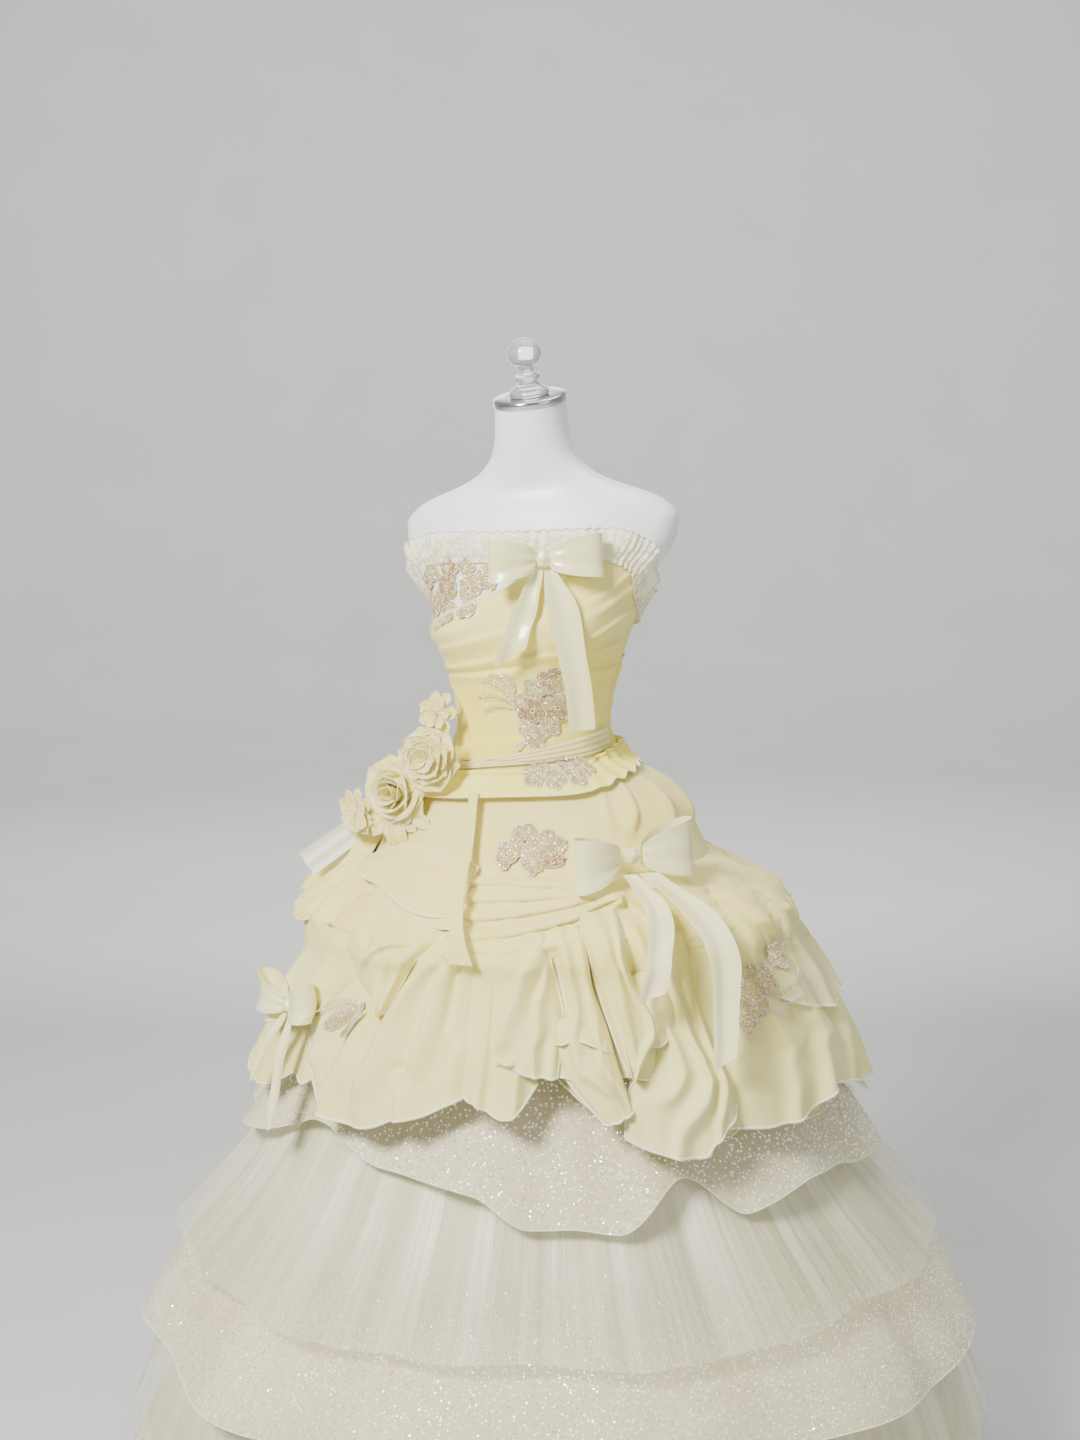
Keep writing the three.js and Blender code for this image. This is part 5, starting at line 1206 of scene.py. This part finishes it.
for puff in puffs:
    a, t = lattice(puff["first"], puff["last"], puff["columns"], puffSet["rows"])
    s = (a - puff["first"]) / (puff["last"] - puff["first"])
    start, middle, end, top = (puff[k] / 1000 for k in ("start", "middle", "end", "top"))
    ends = mix(start, end, s)
    low = ends + (middle - ends) * np.sin(pi * s)
    scoops = puff.get("scoops", 0)
    if scoops:
        low = low - puffSet["scoop"] * np.abs(np.sin(pi * scoops * s)) ** 0.6 + 0.006
    z = mix(low, top, t)
    deeper = drawn(puff["folds"], skirtMetre, puff.get("deep", puffSet["deep"]))
    out = standOff(puffRows, a, z) + foldField(a * skirtMetre, z, deeper)
    out += puffSet["swell"] * swell(puff["seed"], a * skirtMetre, z, 0.09) + puffSet["fineSwell"] * swell(
        puff["seed"] + 1, a * skirtMetre, z, 0.03)
    if scoops:
        belly = np.abs(np.sin(pi * scoops * s)) ** 0.7
        out += (puffSet["belly"] * belly - 0.004) * np.sin(pi * np.clip(1 - t, 0, 1)) + puffSet["crumple"] * (
            1 - belly) * np.sin(z * 420)
    out -= puffSet["lowTuck"] * bell(t, 0.05) + puffSet["topTuck"] * bell(1 - t, 0.05)
    sheet = onSkirt(a, z, out)
    shape = newShape()
    addGrid(shape, sheet)
    addTube(shape, sheet[:, 0], puffSet["cord"])
    cloth(puff["name"], shape, [sheet], ["over", "hem"], [puff["node"]])

# pointed flap at the wearer's right, folded back on itself below
flaps = [
    {"seed": 91, "columns": 120, "rows": 50, "frills": 2, "frill": 2, "lift": 10.5, "lowLift": 2, "bulge": 3,
     "tuck": 1, "cords": {"low": 1.6, "top": 1.2},
     "top": [(-60.5, 948.5), (-42, 974), (-29.6, 981), (-10, 972), (-3, 962)],
     "low": [(-60.5, 947), (-46, 941), (-31.1, 933), (-13.6, 915), (-4, 912)], "left": [], "right": [(-3.5, 935)],
     "creases": [
         ([(0.42, 0.45), (0.6, 0.6), (0.8, 0.8)], 0.03, 0.08, 4, 0.1, 0.3),
         ([(0.1, 0.4), (0.4, 0.3), (0.8, 0.35), (1, 0.4)], 0.05, 0.12, 2, 0.1, 0.3)]},
    {"seed": 93, "columns": 90, "rows": 26, "lift": 4.5, "bulge": 3, "tuck": 1,
     "top": [(-44, 942), (-30, 935), (-14, 922), (0, 915)], "low": [(-40, 930), (-28, 921), (-12, 905), (2, 900)],
     "left": [], "right": []}]
hipLobes = [  # angle, top, bottom, width and bulge of the soft lobes beside the flap
    (-67, 985, 930, 9, 16), (-73, 965, 905, 10, 20), (-60, 955, 900, 11, 14), (-80, 950, 895, 9, 18),
    (-52, 925, 885, 8, 10)]
for k, (middle, high, low, wide, bulge) in enumerate(hipLobes):
    flaps.append({
        "seed": 95 + k, "frill": 2, "frills": 1, "columns": 44, "rows": 40, "lift": 4, "bulge": bulge, "tuck": 10,
        "top": [(middle - wide * 0.35, high), (middle, high + 6), (middle + wide * 0.35, high)],
        "low": [(middle - wide * 0.45, low), (middle, low - 6), (middle + wide * 0.5, low)],
        "left": [(middle - wide * 0.6, mix(low, high, 0.5))], "right": [(middle + wide * 0.62, mix(low, high, 0.45))],
        "folds": [(0.35, 0.3, 0.08, 3, 0.5), (0.7, 0.72, 0.07, 3, 0.5)]})
shape = newShape()
sheets = [addPanel(shape, spec) for spec in flaps]
cloth("flap_cloth", shape, sheets, ["over", "hem"], ["overskirt_flap"])
print("upper overskirt made")


# bows: a knot, two loops (side, reach, half height, depth, lift) and two tails (side, path, slant, twist);
# u runs to the bow's right, v up and w outwards
bows = [
    {"name": "neck_bow", "place": (54, -135, 1352), "face": 24, "knot": (8.5, 12, 8), "seed": 101,
     "loops": [("right", -70, 31, 13, -2), ("left", 78, 31, 13, 3)],
     "tails": [
         ("right", [(-7, -14, 0, 7), (-24, -62, 4, 15), (-38, -100, 8, 18), (-46, -126, 8, 20)], 10, 0.3),
         ("left", [(9, -14, 0, 7), (22, -60, 12, 20), (34, -126, 16, 18), (42, -170, 12, 17), (46, -222, 8, 17)], 2,
          0.25)]},
    {"name": "hip_bow", "place": (181, -184, 980), "face": 42, "knot": (14, 11, 9), "seed": 103,
     "loops": [("right", -76, 37, 14, -6), ("left", 85, 39, 14, 5)],
     "tails": [
         ("right", [(-10, -20, 18, 9), (0, -58, 76, 16), (-22, -108, 120, 17), (-40, -146, 135, 18)], 6, 0.2),
         ("left",
          [(16, -20, 18, 13), (56, -64, 74, 20), (66, -110, 120, 20), (52, -180, 148, 17), (42, -228, 164, 14)], 8,
          0.35)]},
    {"name": "side_bow", "place": (-255, -283, 782), "face": -34, "knot": (8, 9, 8), "seed": 105,
     "loops": [("right", -76, 28, 12, 8), ("left", 60, 28, 12, 14)],
     "tails": [
         ("right", [(-7, -12, 2, 6), (-22, -50, 22, 9), (-34, -98, 40, 9)], 6, 0.8),
         ("left", [(8, -12, 2, 6), (22, -70, 28, 12), (34, -144, 50, 9)], 6, 0.2)]}]
bowSet = {"columns": 72, "rows": 30, "gather": 0.0019, "gatherReach": 0.017, "hem": 0.0004, "tailRows": 61}


def facing(face, lean, place):
    return Matrix.Translation([x / 1000 for x in place]) @ Matrix.Rotation(face * rad, 4, "Z") @ Matrix.Rotation(
        -lean * rad, 4, "X")


def placed(matrix, u, v, w):
    local = np.stack([u, -w, v, np.ones(np.shape(u))], axis=-1)
    return (local @ np.array(matrix).T)[..., :3]


def globe(columns, rows):
    return np.meshgrid(np.linspace(0, 2 * pi, columns), np.linspace(-pi / 2, pi / 2, rows),
                       indexing="ij")


# one loop or tail of a bow, with a fine hem along two of its edges
def satinPiece(bow, part, sheet, edges):
    shape = newShape()
    addGrid(shape, sheet)
    for edge in edges:
        addTube(shape, edge, bowSet["hem"], sides=5)
    cloth(f"{bow['name']}_{part}_satin", shape, [sheet], ["satin", "satin"], [f"{bow['name']}_{part}"])


for bow in bows:
    matrix = facing(bow["face"], 0, bow["place"])
    across, tall, deep = (x / 1000 for x in bow["knot"])
    phi, theta = globe(41, 21)
    fold = 1 + 0.07 * np.sin(phi * 5 + theta * 2) * np.cos(theta) + 0.05 * np.sin(theta * 7 + 1)
    knot = placed(matrix, across * 0.97 * fold * np.cos(theta) * np.cos(phi), tall * fold * np.sin(theta),
                  deep * 0.97 * fold * np.cos(theta) * np.sin(phi))
    shape = newShape()
    addGrid(shape, knot, ring=True, turned=True)
    piece = finishShape(shape, f"{bow['name']}_knot_satin", ["satin"], [f"{bow['name']}_knot"])

    for side, *sizes, lift in bow["loops"]:
        reach, loopTall, depth = (x / 1000 for x in sizes)
        s, t = lattice(0, 1, bowSet["columns"], bowSet["rows"])
        sign = np.sign(reach)
        start = sign * (across + 0.001)
        opening = np.sin(pi * s)
        u = start + (reach - start) * opening**1.5
        w = sign * (depth * np.sin(2 * pi * s) + 0.0024 * np.cos(pi * s))
        v = mix(tall * 0.8, loopTall, opening**0.75) * (t * 2 - 1)
        near = np.exp(-np.abs(u - start) / bowSet["gatherReach"])
        w = w + bowSet["gather"] * near * np.sin(pi * (t * 2 - 1) * 2.6 + s) * np.abs(np.sin(pi * s)) ** 0.3
        w = w + 0.0040 * opening * swell(bow["seed"] + (sign > 0), t * 0.6, s * 0.5, 0.7)
        w = w + 0.006 * opening * smooth(0.30, 0.0, t) * (1 - 0.4 * s)
        v = v + u * math.sin(lift * rad) * sign
        v = v - 0.003 * opening**4 * (t * 2 - 1) ** 3
        sheet = placed(matrix, u, v, w)
        satinPiece(bow, f"loop_{side}", sheet, (sheet[:, 0], sheet[:, -1]))

    for side, path, slant, twist in bow["tails"]:
        line = smoothLine(np.array(path) / 1000, bowSet["tailRows"])[::-1]
        t = np.linspace(0, 1, 17)[:, None]
        down = np.linspace(0, 1, bowSet["tailRows"])[None, :]
        u, v, w, wide = (line[None, :, k] for k in range(4))
        span = t * 2 - 1
        curl = wide * (0.12 * np.cos(pi * 2 * t) + 0.10 * span * twist * np.sin(down * pi * 2.2))
        slanted = v + span * (slant / 1000) * (1 - down) ** 4 - 0.0015 * np.sin(down * pi * 5) * span
        sheet = placed(matrix, u + wide * span, slanted + 0 * u,
                       w + curl + 0.0012 * np.sin(down * pi * 4 + span))
        satinPiece(bow, f"tail_{side}", sheet, (sheet[0], sheet[-1]))
print("bows made")


# how wide a petal is at t along it; it fills out to peak and rounds off to its tip
def petalWidth(t, peak, start, power, rounded=1):
    return np.where(t < peak, np.sin(pi / 2 * np.clip(t / peak, start, 1) ** rounded) ** power,
                    np.sqrt(np.clip(1 - ((t - peak) / (1 - peak)) ** 2, 0, 1)))


def petalEdge(sheet):
    return np.concatenate([sheet[0], sheet[1:-1, -1], sheet[-1][::-1]])


# chiffon flowers: rings of petals round a centre; each petal is cupped and curls at its edge
def addPetal(shape, matrix, centre, turnBy, length, wide, cup, rise, curl, rounded, seed, lift):
    s = np.linspace(-1, 1, 15)[:, None]
    t = (1 - (1 - np.linspace(0.02, 1, 13)) ** 1.7)[None, :]
    spread = petalWidth(t, min(max(1 - 0.95 * wide / length, 0.5), 0.85), 0.03, 0.8, rounded)
    x = s * wide * spread
    y = length * t * (1 - 0.10 * s**2 * t**3)
    z = lift + rise * t**1.3 + cup * s**2 * spread - curl * smooth(0.72, 1, t) + 0.05 * length * swell(seed, s, t, 1.1)
    c, q = math.cos(turnBy), math.sin(turnBy)
    sheet = placed(matrix, centre[0] + x * c - y * q, centre[1] + x * q + y * c, z + 0 * x)
    addGrid(shape, sheet)
    addTube(shape, petalEdge(sheet), 0.0005, sides=4)
    return sheet


def addBead(shape, place, radius, slot):
    phi, theta = globe(11, 7)
    ball = np.stack([np.cos(theta) * np.cos(phi), np.cos(theta) * np.sin(phi), np.sin(theta)], axis=-1)
    addGrid(shape, np.array(place) + ball * radius, slot, ring=True)


def addStem(shape, matrix, top, length, radius):
    addTube(shape, placed(matrix, np.zeros(6), np.zeros(6), np.linspace(top, -length, 6)), radius, slot=0)


# all the petals of a flower are cut from one strip, as wide as a petal is long
def flowerPiece(shape, node, used, sheets):
    total = sum(cutSize(q)[0] * cutSize(q)[1] for q in sheets)
    piece = finishShape(shape, f"{node}_petals", used, [node])


# a flower is a list of rings: (petals, first turn, length, half width, cup, rise, curl, roundness, lift)
flowers = [
    {"name": "flower_daisy", "place": (-102, -126, 1150), "face": -8, "lean": 6, "seed": 111,
     "rings": [(7, 0.2, 34, 8, 1, 3, 1, 1.9, 1), (6, 0.6, 24, 7, 1.2, 7, 1, 1.7, 3)], "stamens": 5, "stem": 12},
    {"name": "flower_open", "place": (-102, -158, 1092), "face": -4, "lean": 4, "seed": 121,
     "rings": [
         (6, 0.3, 50, 26, 5, 8, 4, 1.05, -2), (6, 0.9, 40, 21, 6, 12, 3, 1.05, 2),
         (5, 0.2, 29, 16, 6, 15, 2, 1.05, 5), (4, 0.1, 19, 11, 6, 16, 1, 1.0, 8)], "stamens": 6, "stem": 22},
    {"name": "flower_side", "place": (-218, -140, 1014), "face": -22, "lean": -4, "seed": 131,
     "rings": [(8, 0.5, 38, 8.5, 1, 3, 1, 1.9, 1), (6, 0.1, 30, 11.5, 2, 8, 2, 1.3, 3)], "stamens": 4, "stem": 45}]
for flower in flowers:
    matrix = facing(flower["face"], flower["lean"], flower["place"])
    chance = np.random.default_rng(flower["seed"])
    shape = newShape()
    sheets = []
    for ring, (count, first, *sizes, rounded, lift) in enumerate(flower["rings"]):
        length, wide, cup, rise, curl, lift = (x / 1000 for x in (*sizes, lift))
        for k in range(count):
            at = first + k / count * 2 * pi + chance.uniform(-0.12, 0.12)
            sheets.append(addPetal(
                shape, matrix, (0, 0), at, length * chance.uniform(0.88, 1.0), wide * chance.uniform(0.9, 1.08), cup,
                rise * chance.uniform(0.7, 1.3), curl, rounded, flower["seed"] + ring * 10 + k, lift))
    addStem(shape, matrix, 0.003, flower["stem"] / 1000, 0.0022)
    for k in range(flower["stamens"]):
        at = k / flower["stamens"] * 2 * pi + 0.3
        run = np.linspace(0, 1, 9)
        spread = 0.008 * run**1.5
        tube = placed(matrix, spread * math.cos(at), spread * math.sin(at), 0.004 + 0.013 * run)
        addTube(shape, tube, 0.00045, sides=5, slot=2)
        addBead(shape, tube[-1], 0.0011, 2)
    flowerPiece(shape, flower["name"], ["petal", "hem", "stamen"], sheets)

# rose: wide petals that wind in towards a rolled bud, a ring of open ones, and long tips as (turn, length)
rose = {"place": (-156, -158, 1046), "face": -10, "lean": 2, "radius": 0.047, "dome": 0.022, "petals": 15,
        "seed": 141, "stem": 0.030, "open": 8, "tips": [
            (2.55, 70), (2.9, 66), (3.3, 72), (3.7, 60), (4.05, 70), (2.15, 58), (3.05, 78)]}
matrix = facing(rose["face"], rose["lean"], rose["place"])
shape = newShape()
sheets = []
chance = np.random.default_rng(rose["seed"])
s = np.linspace(-1, 1, 25)[:, None]
t = np.linspace(0, 1, 15)[None, :]
fade = (1 - np.abs(s) ** 2.6)
for k in range(rose["petals"]):
    part = k / (rose["petals"] - 1)
    inner = rose["radius"] * mix(0.93, 0.20, part ** 0.9)
    theta = k * 2.4 + 0.7 + s * mix(1.25, 2.6, part) * 0.62
    high = rose["dome"] * mix(0.10, 1.0, part ** 0.7)
    r = inner * (0.62 + 0.30 * t + 0.10 * smooth(0.7, 1, t)) * (1 + 0.04 * np.sin(theta * 2 + k))
    h = -0.006 + (high + 0.008) * t**0.8 * (0.35 + 0.65 * fade) - 0.0035 * smooth(0.82, 1, t) * (1 - part)
    sheet = placed(matrix, r * np.cos(theta), r * np.sin(theta), h + 0 * r)
    addGrid(shape, sheet)
    addTube(shape, sheet[:, -1], 0.0006, sides=4)
    sheets.append(sheet)
for k in range(rose["open"]):
    length = rose["radius"] * chance.uniform(1.0, 1.18)
    sheets.append(addPetal(shape, matrix, (0, 0), k / rose["open"] * 2 * pi + 0.2, length, 0.024, 0.004, 0.001,
                           0.004, 0.95, 150 + k, -0.004))
for turnBy, length in rose["tips"]:
    sheets.append(addPetal(shape, matrix, (0, -0.004), turnBy, length / 1000, 0.0095, 0.001, 0.002, 0.002, 1.9,
                           160 + int(turnBy * 10), -0.007))
addStem(shape, matrix, 0.0, rose["stem"], 0.003)
flowerPiece(shape, "flower_rose", ["petal", "hem"], sheets)
print("flowers made")

# hanging strip and stiff folded ribbon: x, y, z and half width along each, and the way its width lies
streamers = [
    {"name": "streamer_long", "lateral": (0.997, -0.07, 0), "used": "overPale", "fold": 0.8,
     "path": [
         (-38, -163, 1052, 6), (-28, -208, 990, 6), (-12, -282, 940, 6), (4, -330, 900, 10), (14, -342, 868, 15)]},
    {"name": "streamer_side", "lateral": (0.52, 0.19, -0.83), "used": "ribbon", "fold": 1.4,
     "path": [(-196, -93, 1016, 10), (-216, -100, 1002, 15), (-250, -122, 976, 17), (-292, -154, 942, 18)]}]
for strip in streamers:
    line = smoothLine(np.array(strip["path"]) / 1000, 81)[::-1]
    t = np.linspace(-1, 1, 13)[:, None]
    sheet = line[None, :, :3] + (line[None, :, 3] * t)[..., None] * np.array(strip["lateral"])
    sheet[..., 1] -= strip["fold"] / 1000 * np.cos(t * pi * 2)
    shape = newShape()
    addGrid(shape, sheet)
    for edge in (sheet[0], sheet[-1]):
        addTube(shape, edge, 0.0004, sides=4)
    cloth(f"{strip['name']}_cloth", shape, [sheet], [strip["used"], "hem"], [strip["name"]])
print("streamers made")


# where an applique lies on the bodice, the band or the yoke, whichever is outermost
def onBodice(angle, z, out):
    covered = smooth(-0.004, 0.005, along(drapeTop, 1, angle) - z)
    base = mix(-0.0046, 0.0016, covered)
    banded = smooth(0.022, 0.017, np.abs(z - along(bandMiddle, 1, wrap(angle))))
    return overHip(angle, z, out + base * (z >= bodice["waist"]) + 0.0095 * banded)


# where it lies on loose panels: the outermost of them within reach of each point
def onSheets(*names):
    spots = np.concatenate([laidSheets[k].reshape(-1, 3) for k in names])
    near, heights = np.arctan2(spots[:, 0], -spots[:, 1]) / rad, spots[:, 2]
    bare = onSkirt(near, heights, standOff(overRows, near, heights))
    over = onSkirt(near, heights, standOff(overRows, near, heights) + 0.01)
    lifts = ((spots - bare) * (over - bare)).sum(axis=1) / 0.01

    def face(angle, z, out):
        angle, z, out = np.broadcast_arrays(np.asarray(angle, float), np.asarray(z, float), np.asarray(out, float))
        flat = np.stack([angle.ravel(), z.ravel()], axis=1)
        lift = np.empty(len(flat))
        for k, (p, q) in enumerate(flat):
            gap = ((near - p) * skirtMetre) ** 2 + (heights - q) ** 2
            closest = gap < 0.006**2
            lift[k] = lifts[closest].max() if closest.any() else lifts[gap.argmin()]
        return onSkirt(angle, z, standOff(overRows, angle, z) + lift.reshape(angle.shape) + out)

    return face


# metres to a degree round a face, near one point of it
def degreeWidth(face, a0, z0):
    return np.linalg.norm(face(np.array(a0 + 1.0), np.array(z0), 0) - face(np.array(a0 - 1.0), np.array(z0), 0)) / 2


def laid(face, a0, z0, u, v, out):
    return face(a0 + u / degreeWidth(face, a0, z0), z0 + v, out)


def faceNormals(face, a0, z0, u, v):
    e = 0.0004
    across = laid(face, a0, z0, u + e, v, 0) - laid(face, a0, z0, u - e, v, 0)
    up = laid(face, a0, z0, u, v + e, 0) - laid(face, a0, z0, u, v - e, 0)
    return unit(np.cross(across, up), 1e-12)


def sewnWidth(t, slim):
    return petalWidth(t, min(max(1 - 1.1 * slim, 0.45), 0.85), 0.12, 0.7)


# sewn petal edged with cord and set with sequins, and beads where it is rose; slots: 0 ground cloth,
# 1 thread, 2 sequins, 3 rose beads, 4 rose cloth
sewn = {"cord": 0.0008, "dome": 0.0010, "ripple": 0.00025, "share": 26, "stone": 0.0014, "sequin": 0.0011,
        "bead": 0.0009, "beadHigh": 0.0007, "vein": 0.0007, "stitch": 0.00055, "stitches": 11}


def addSewnPetal(shape, face, a0, z0, place, direction, length, wide, seed, rose, lift):
    c, q = math.cos(direction), math.sin(direction)

    def turned(x, y):
        return place[0] + x * c + y * q, place[1] - x * q + y * c

    s = np.linspace(-1, 1, 9)[:, None]
    t = (1 - (1 - np.linspace(0, 1, 9)) ** 1.6)[None, :]
    spread = sewnWidth(t, wide / length)
    u, v = turned(s * wide * spread, length * t * (1 - 0.06 * s**2))
    out = lift + sewn["dome"] * (1 - s**2) * spread + sewn["ripple"] * np.sin(s * 14 + t * 3)
    sheet = laid(face, a0, z0, u, v, out)
    addGrid(shape, sheet, 4 if rose > 0.7 else 0)
    addTube(shape, petalEdge(sheet), sewn["cord"], sides=4, slot=1)
    chance = np.random.default_rng(seed)
    n = int(sewn["share"] * length * wide / 0.00012) + 4
    s, t = chance.uniform(-0.85, 0.85, n), chance.uniform(0.08, 0.95, n)
    u, v = turned(s * wide * sewnWidth(t, wide / length), length * t)
    spots, normals = laid(face, a0, z0, u, v, lift + sewn["stone"]), faceNormals(face, a0, z0, u, v)
    red = chance.uniform(0, 1, n) < rose * smooth(0.95, 0.4, t)
    if (~red).any():
        addFacets(shape, spots[~red], normals[~red], sewn["sequin"], 4, 2, seed + 1, 0.35)
    if red.any():
        addFacets(shape, spots[red], normals[red], sewn["bead"], 5, 3, seed + 2, 0.1, sewn["beadHigh"])


def addBlossom(shape, face, spot, seed):
    a0, z0, radius, petals, first, rose = spot
    z0, radius = z0 / 1000, radius / 1000
    chance = np.random.default_rng(seed)
    for k in range(petals):
        turnBy = first + k / petals * 2 * pi + chance.uniform(-0.15, 0.15)
        place = (0.12 * radius * math.sin(turnBy), 0.12 * radius * math.cos(turnBy))
        addSewnPetal(shape, face, a0, z0, place, turnBy, radius * chance.uniform(0.85, 1.1),
                     radius * chance.uniform(0.46, 0.56), seed * 20 + k, rose * chance.uniform(0.6, 1.15),
                     0.0006 + 0.0003 * (k % 2))
    turnBy = np.arange(9) / 9 * 2 * pi
    u, v = 0.14 * radius * np.cos(turnBy), 0.14 * radius * np.sin(turnBy)
    addFacets(shape, laid(face, a0, z0, u, v, 0.0024), faceNormals(face, a0, z0, u, v), 0.0011, 6, 2, seed + 5, 0.1,
              0.0009)


# leaf of thread: a bent vein with stitches to both sides and sequins on them
def addLeaf(shape, face, base, tip, wide, seed):
    a0, z0 = base[0], base[1] / 1000
    u1, v1 = (tip[0] - a0) * degreeWidth(face, a0, z0), tip[1] / 1000 - z0
    length = math.hypot(u1, v1)
    ahead = np.array([u1, v1]) / length
    side = np.array([ahead[1], -ahead[0]])
    run = np.linspace(0, 1, 22)
    bend = 0.10 * length * np.sin(pi * run)
    vein = run[:, None] * length * ahead + bend[:, None] * side
    addTube(shape, laid(face, a0, z0, vein[:, 0], vein[:, 1], 0.0012), sewn["vein"], sides=5, slot=1)
    chance = np.random.default_rng(seed)
    r = np.linspace(0, 1, 7)[:, None]
    for k in range(sewn["stitches"]):
        at = 0.08 + 0.82 * k / 10
        root = np.array([np.interp(at, run, vein[:, 0]), np.interp(at, run, vein[:, 1])])
        for sign in (-1, 1):
            reach = wide / 1000 * math.sin(pi * (0.12 + 0.83 * at)) ** 0.8 * chance.uniform(0.85, 1.1)
            line = root + r * reach * (side * sign * 0.85 + ahead * 0.7) + (r * (1 - r)) * reach * ahead * 0.25
            addTube(shape, laid(face, a0, z0, line[:, 0], line[:, 1], 0.0010), sewn["stitch"], sides=4, slot=1)
            u, v = line[2::2].T
            addFacets(shape, laid(face, a0, z0, u, v, 0.0016), faceNormals(face, a0, z0, u, v), 0.0009, 4, 2,
                      seed + k * 2 + sign, 0.3)


# appliques: a blossom is (angle, height, radius, petals, first turn, share of rose), a long petal is (angle,
# height, direction, length, half width, share of rose), and a leaf is (base, tip, half width)
appliques = [
    {"name": "bust_applique", "carrier": "drape_front_cloth", "seed": 201,
     "blossoms": [
         (-33, 1343, 16.5, 5, 0.3, 0.95), (-36, 1316, 18.5, 5, 0.9, 1.0), (-45, 1296, 16.5, 5, 0.1, 0.8),
         (-21, 1315, 18.5, 5, 0.5, 0.25), (-11, 1331, 16.5, 5, 0.2, 0.3), (-20, 1291, 14, 4, 0.8, 0.0),
         (-32, 1284, 14, 4, 0.4, 0.1), (-57, 1327, 15, 4, 0.2, 0.2), (-60, 1300, 14, 4, 0.7, 0.3),
         (-22, 1343, 13, 4, 0.1, 0.1), (-46, 1338, 13, 4, 0.6, 0.1)],
     "leaves": [((-46, 1280), (-66, 1262), 6), ((-28, 1276), (-40, 1262), 6), ((-4, 1336), (4, 1352), 6)]},
    {"name": "midriff_applique", "carrier": "drape_front_cloth", "seed": 231,
     "blossoms": [
         (27, 1193, 17, 5, 0.3, 1.0), (17, 1155, 19.5, 5, 0.8, 1.0), (34, 1158, 18.5, 5, 0.1, 0.75),
         (18, 1184, 15, 5, 0.5, 0.1), (18, 1122, 15, 5, 0.2, 0.5), (29, 1134, 14, 4, 0.7, 0.0),
         (8, 1167, 12, 4, 0.4, 0.2), (12, 1134, 10, 4, 0.9, 0.0), (38, 1182, 13, 4, 0.5, 0.2)],
     "leaves": [((12, 1116), (6, 1104), 5), ((22, 1114), (26, 1102), 5)]},
    {"name": "branch_applique", "carrier": "drape_front_cloth", "thread": "paleThread", "seed": 261,
     "leaves": [
         ((4, 1170), (-24, 1196), 6.5), ((5, 1174), (-13, 1203), 6), ((4, 1164), (-25, 1172), 6),
         ((3, 1158), (-20, 1153), 6), ((5, 1180), (-3, 1203), 5)]},
    {"name": "band_applique", "carrier": "band_cloth", "seed": 281,
     "blossoms": [
         (15.5, 1072, 13.5, 5, 0.2, 0.15), (26, 1069, 14, 5, 0.5, 0.15), (37.5, 1073, 14, 5, 0.1, 0.2),
         (21, 1082, 11, 4, 0.4, 0.1), (44, 1083, 12, 4, 0.3, 0.2), (34, 1086, 10, 4, 0.8, 0.3)]},
    {"name": "hip_applique", "carrier": "yoke_cloth", "seed": 301,
     "blossoms": [(12, 992, 22.5, 5, 0.3, 0.1), (5.5, 977, 15, 5, 0.6, 0.1), (15, 968, 15, 4, 0.2, 0.35)],
     "long": [(12, 972, 1.2, 62, 10.5, 0.6), (13, 968, 1.45, 52, 8.5, 0.9), (12, 978, 0.95, 48, 8, 0.2)],
     "leaves": [((11, 970), (28, 990), 4)]},
    {"name": "side_applique", "carrier": "side_fall_cloth", "seed": 321, "on": onSheets("sideFall", "sideFrill"),
     "raise": 1,
     "blossoms": [
         (62, 800, 21, 5, 0.4, 0.1), (69, 822, 19, 5, 0.1, 0.15), (75, 843, 15, 5, 0.7, 0.0),
         (59, 779, 14, 4, 0.2, 0.1)], "long": [(63, 800, 0.5, 50, 9, 0.2), (62, 795, 0.9, 46, 8, 0.1)],
     "leaves": [((72, 832), (82, 862), 7), ((64, 792), (76, 796), 6), ((66, 808), (80, 822), 6)]},
    {"name": "leaf_applique", "carrier": "flounce_cloth", "seed": 341, "on": onSheets("lobe", "fall", "kite"),
     "raise": 1, "long": [(-20, 805, -2.15, 60, 9.5, 0.15), (-19, 800, -2.5, 40, 7, 0.1)],
     "leaves": [((-20, 803), (-33, 779), 9), ((-20, 797), (-29, 771), 7)]}]
for item in appliques:
    shape = newShape()
    seed = item["seed"]

    def face(angle, z, out, on=item.get("on", onBodice), raised=item.get("raise", 0) / 1000):
        return on(angle, z, out + raised)

    for k, spot in enumerate(item.get("blossoms", [])):
        addBlossom(shape, face, spot, seed + k)
    for k, (angle, high, turnBy, length, wide, rosy) in enumerate(item.get("long", [])):
        addSewnPetal(shape, face, angle, high / 1000, (0, 0), turnBy, length / 1000, wide / 1000, seed * 30 + k, rosy,
                     0.0008)
    for k, (base, tip, wide) in enumerate(item.get("leaves", [])):
        addLeaf(shape, face, base, tip, wide, seed + 40 + k * 7)
    piece = finishShape(shape, item["name"], ["motif", item.get("thread", "thread"), "sequin", "rose", "roseCloth"])
    trims.setdefault(item["carrier"], []).append(piece)
print("appliques made")
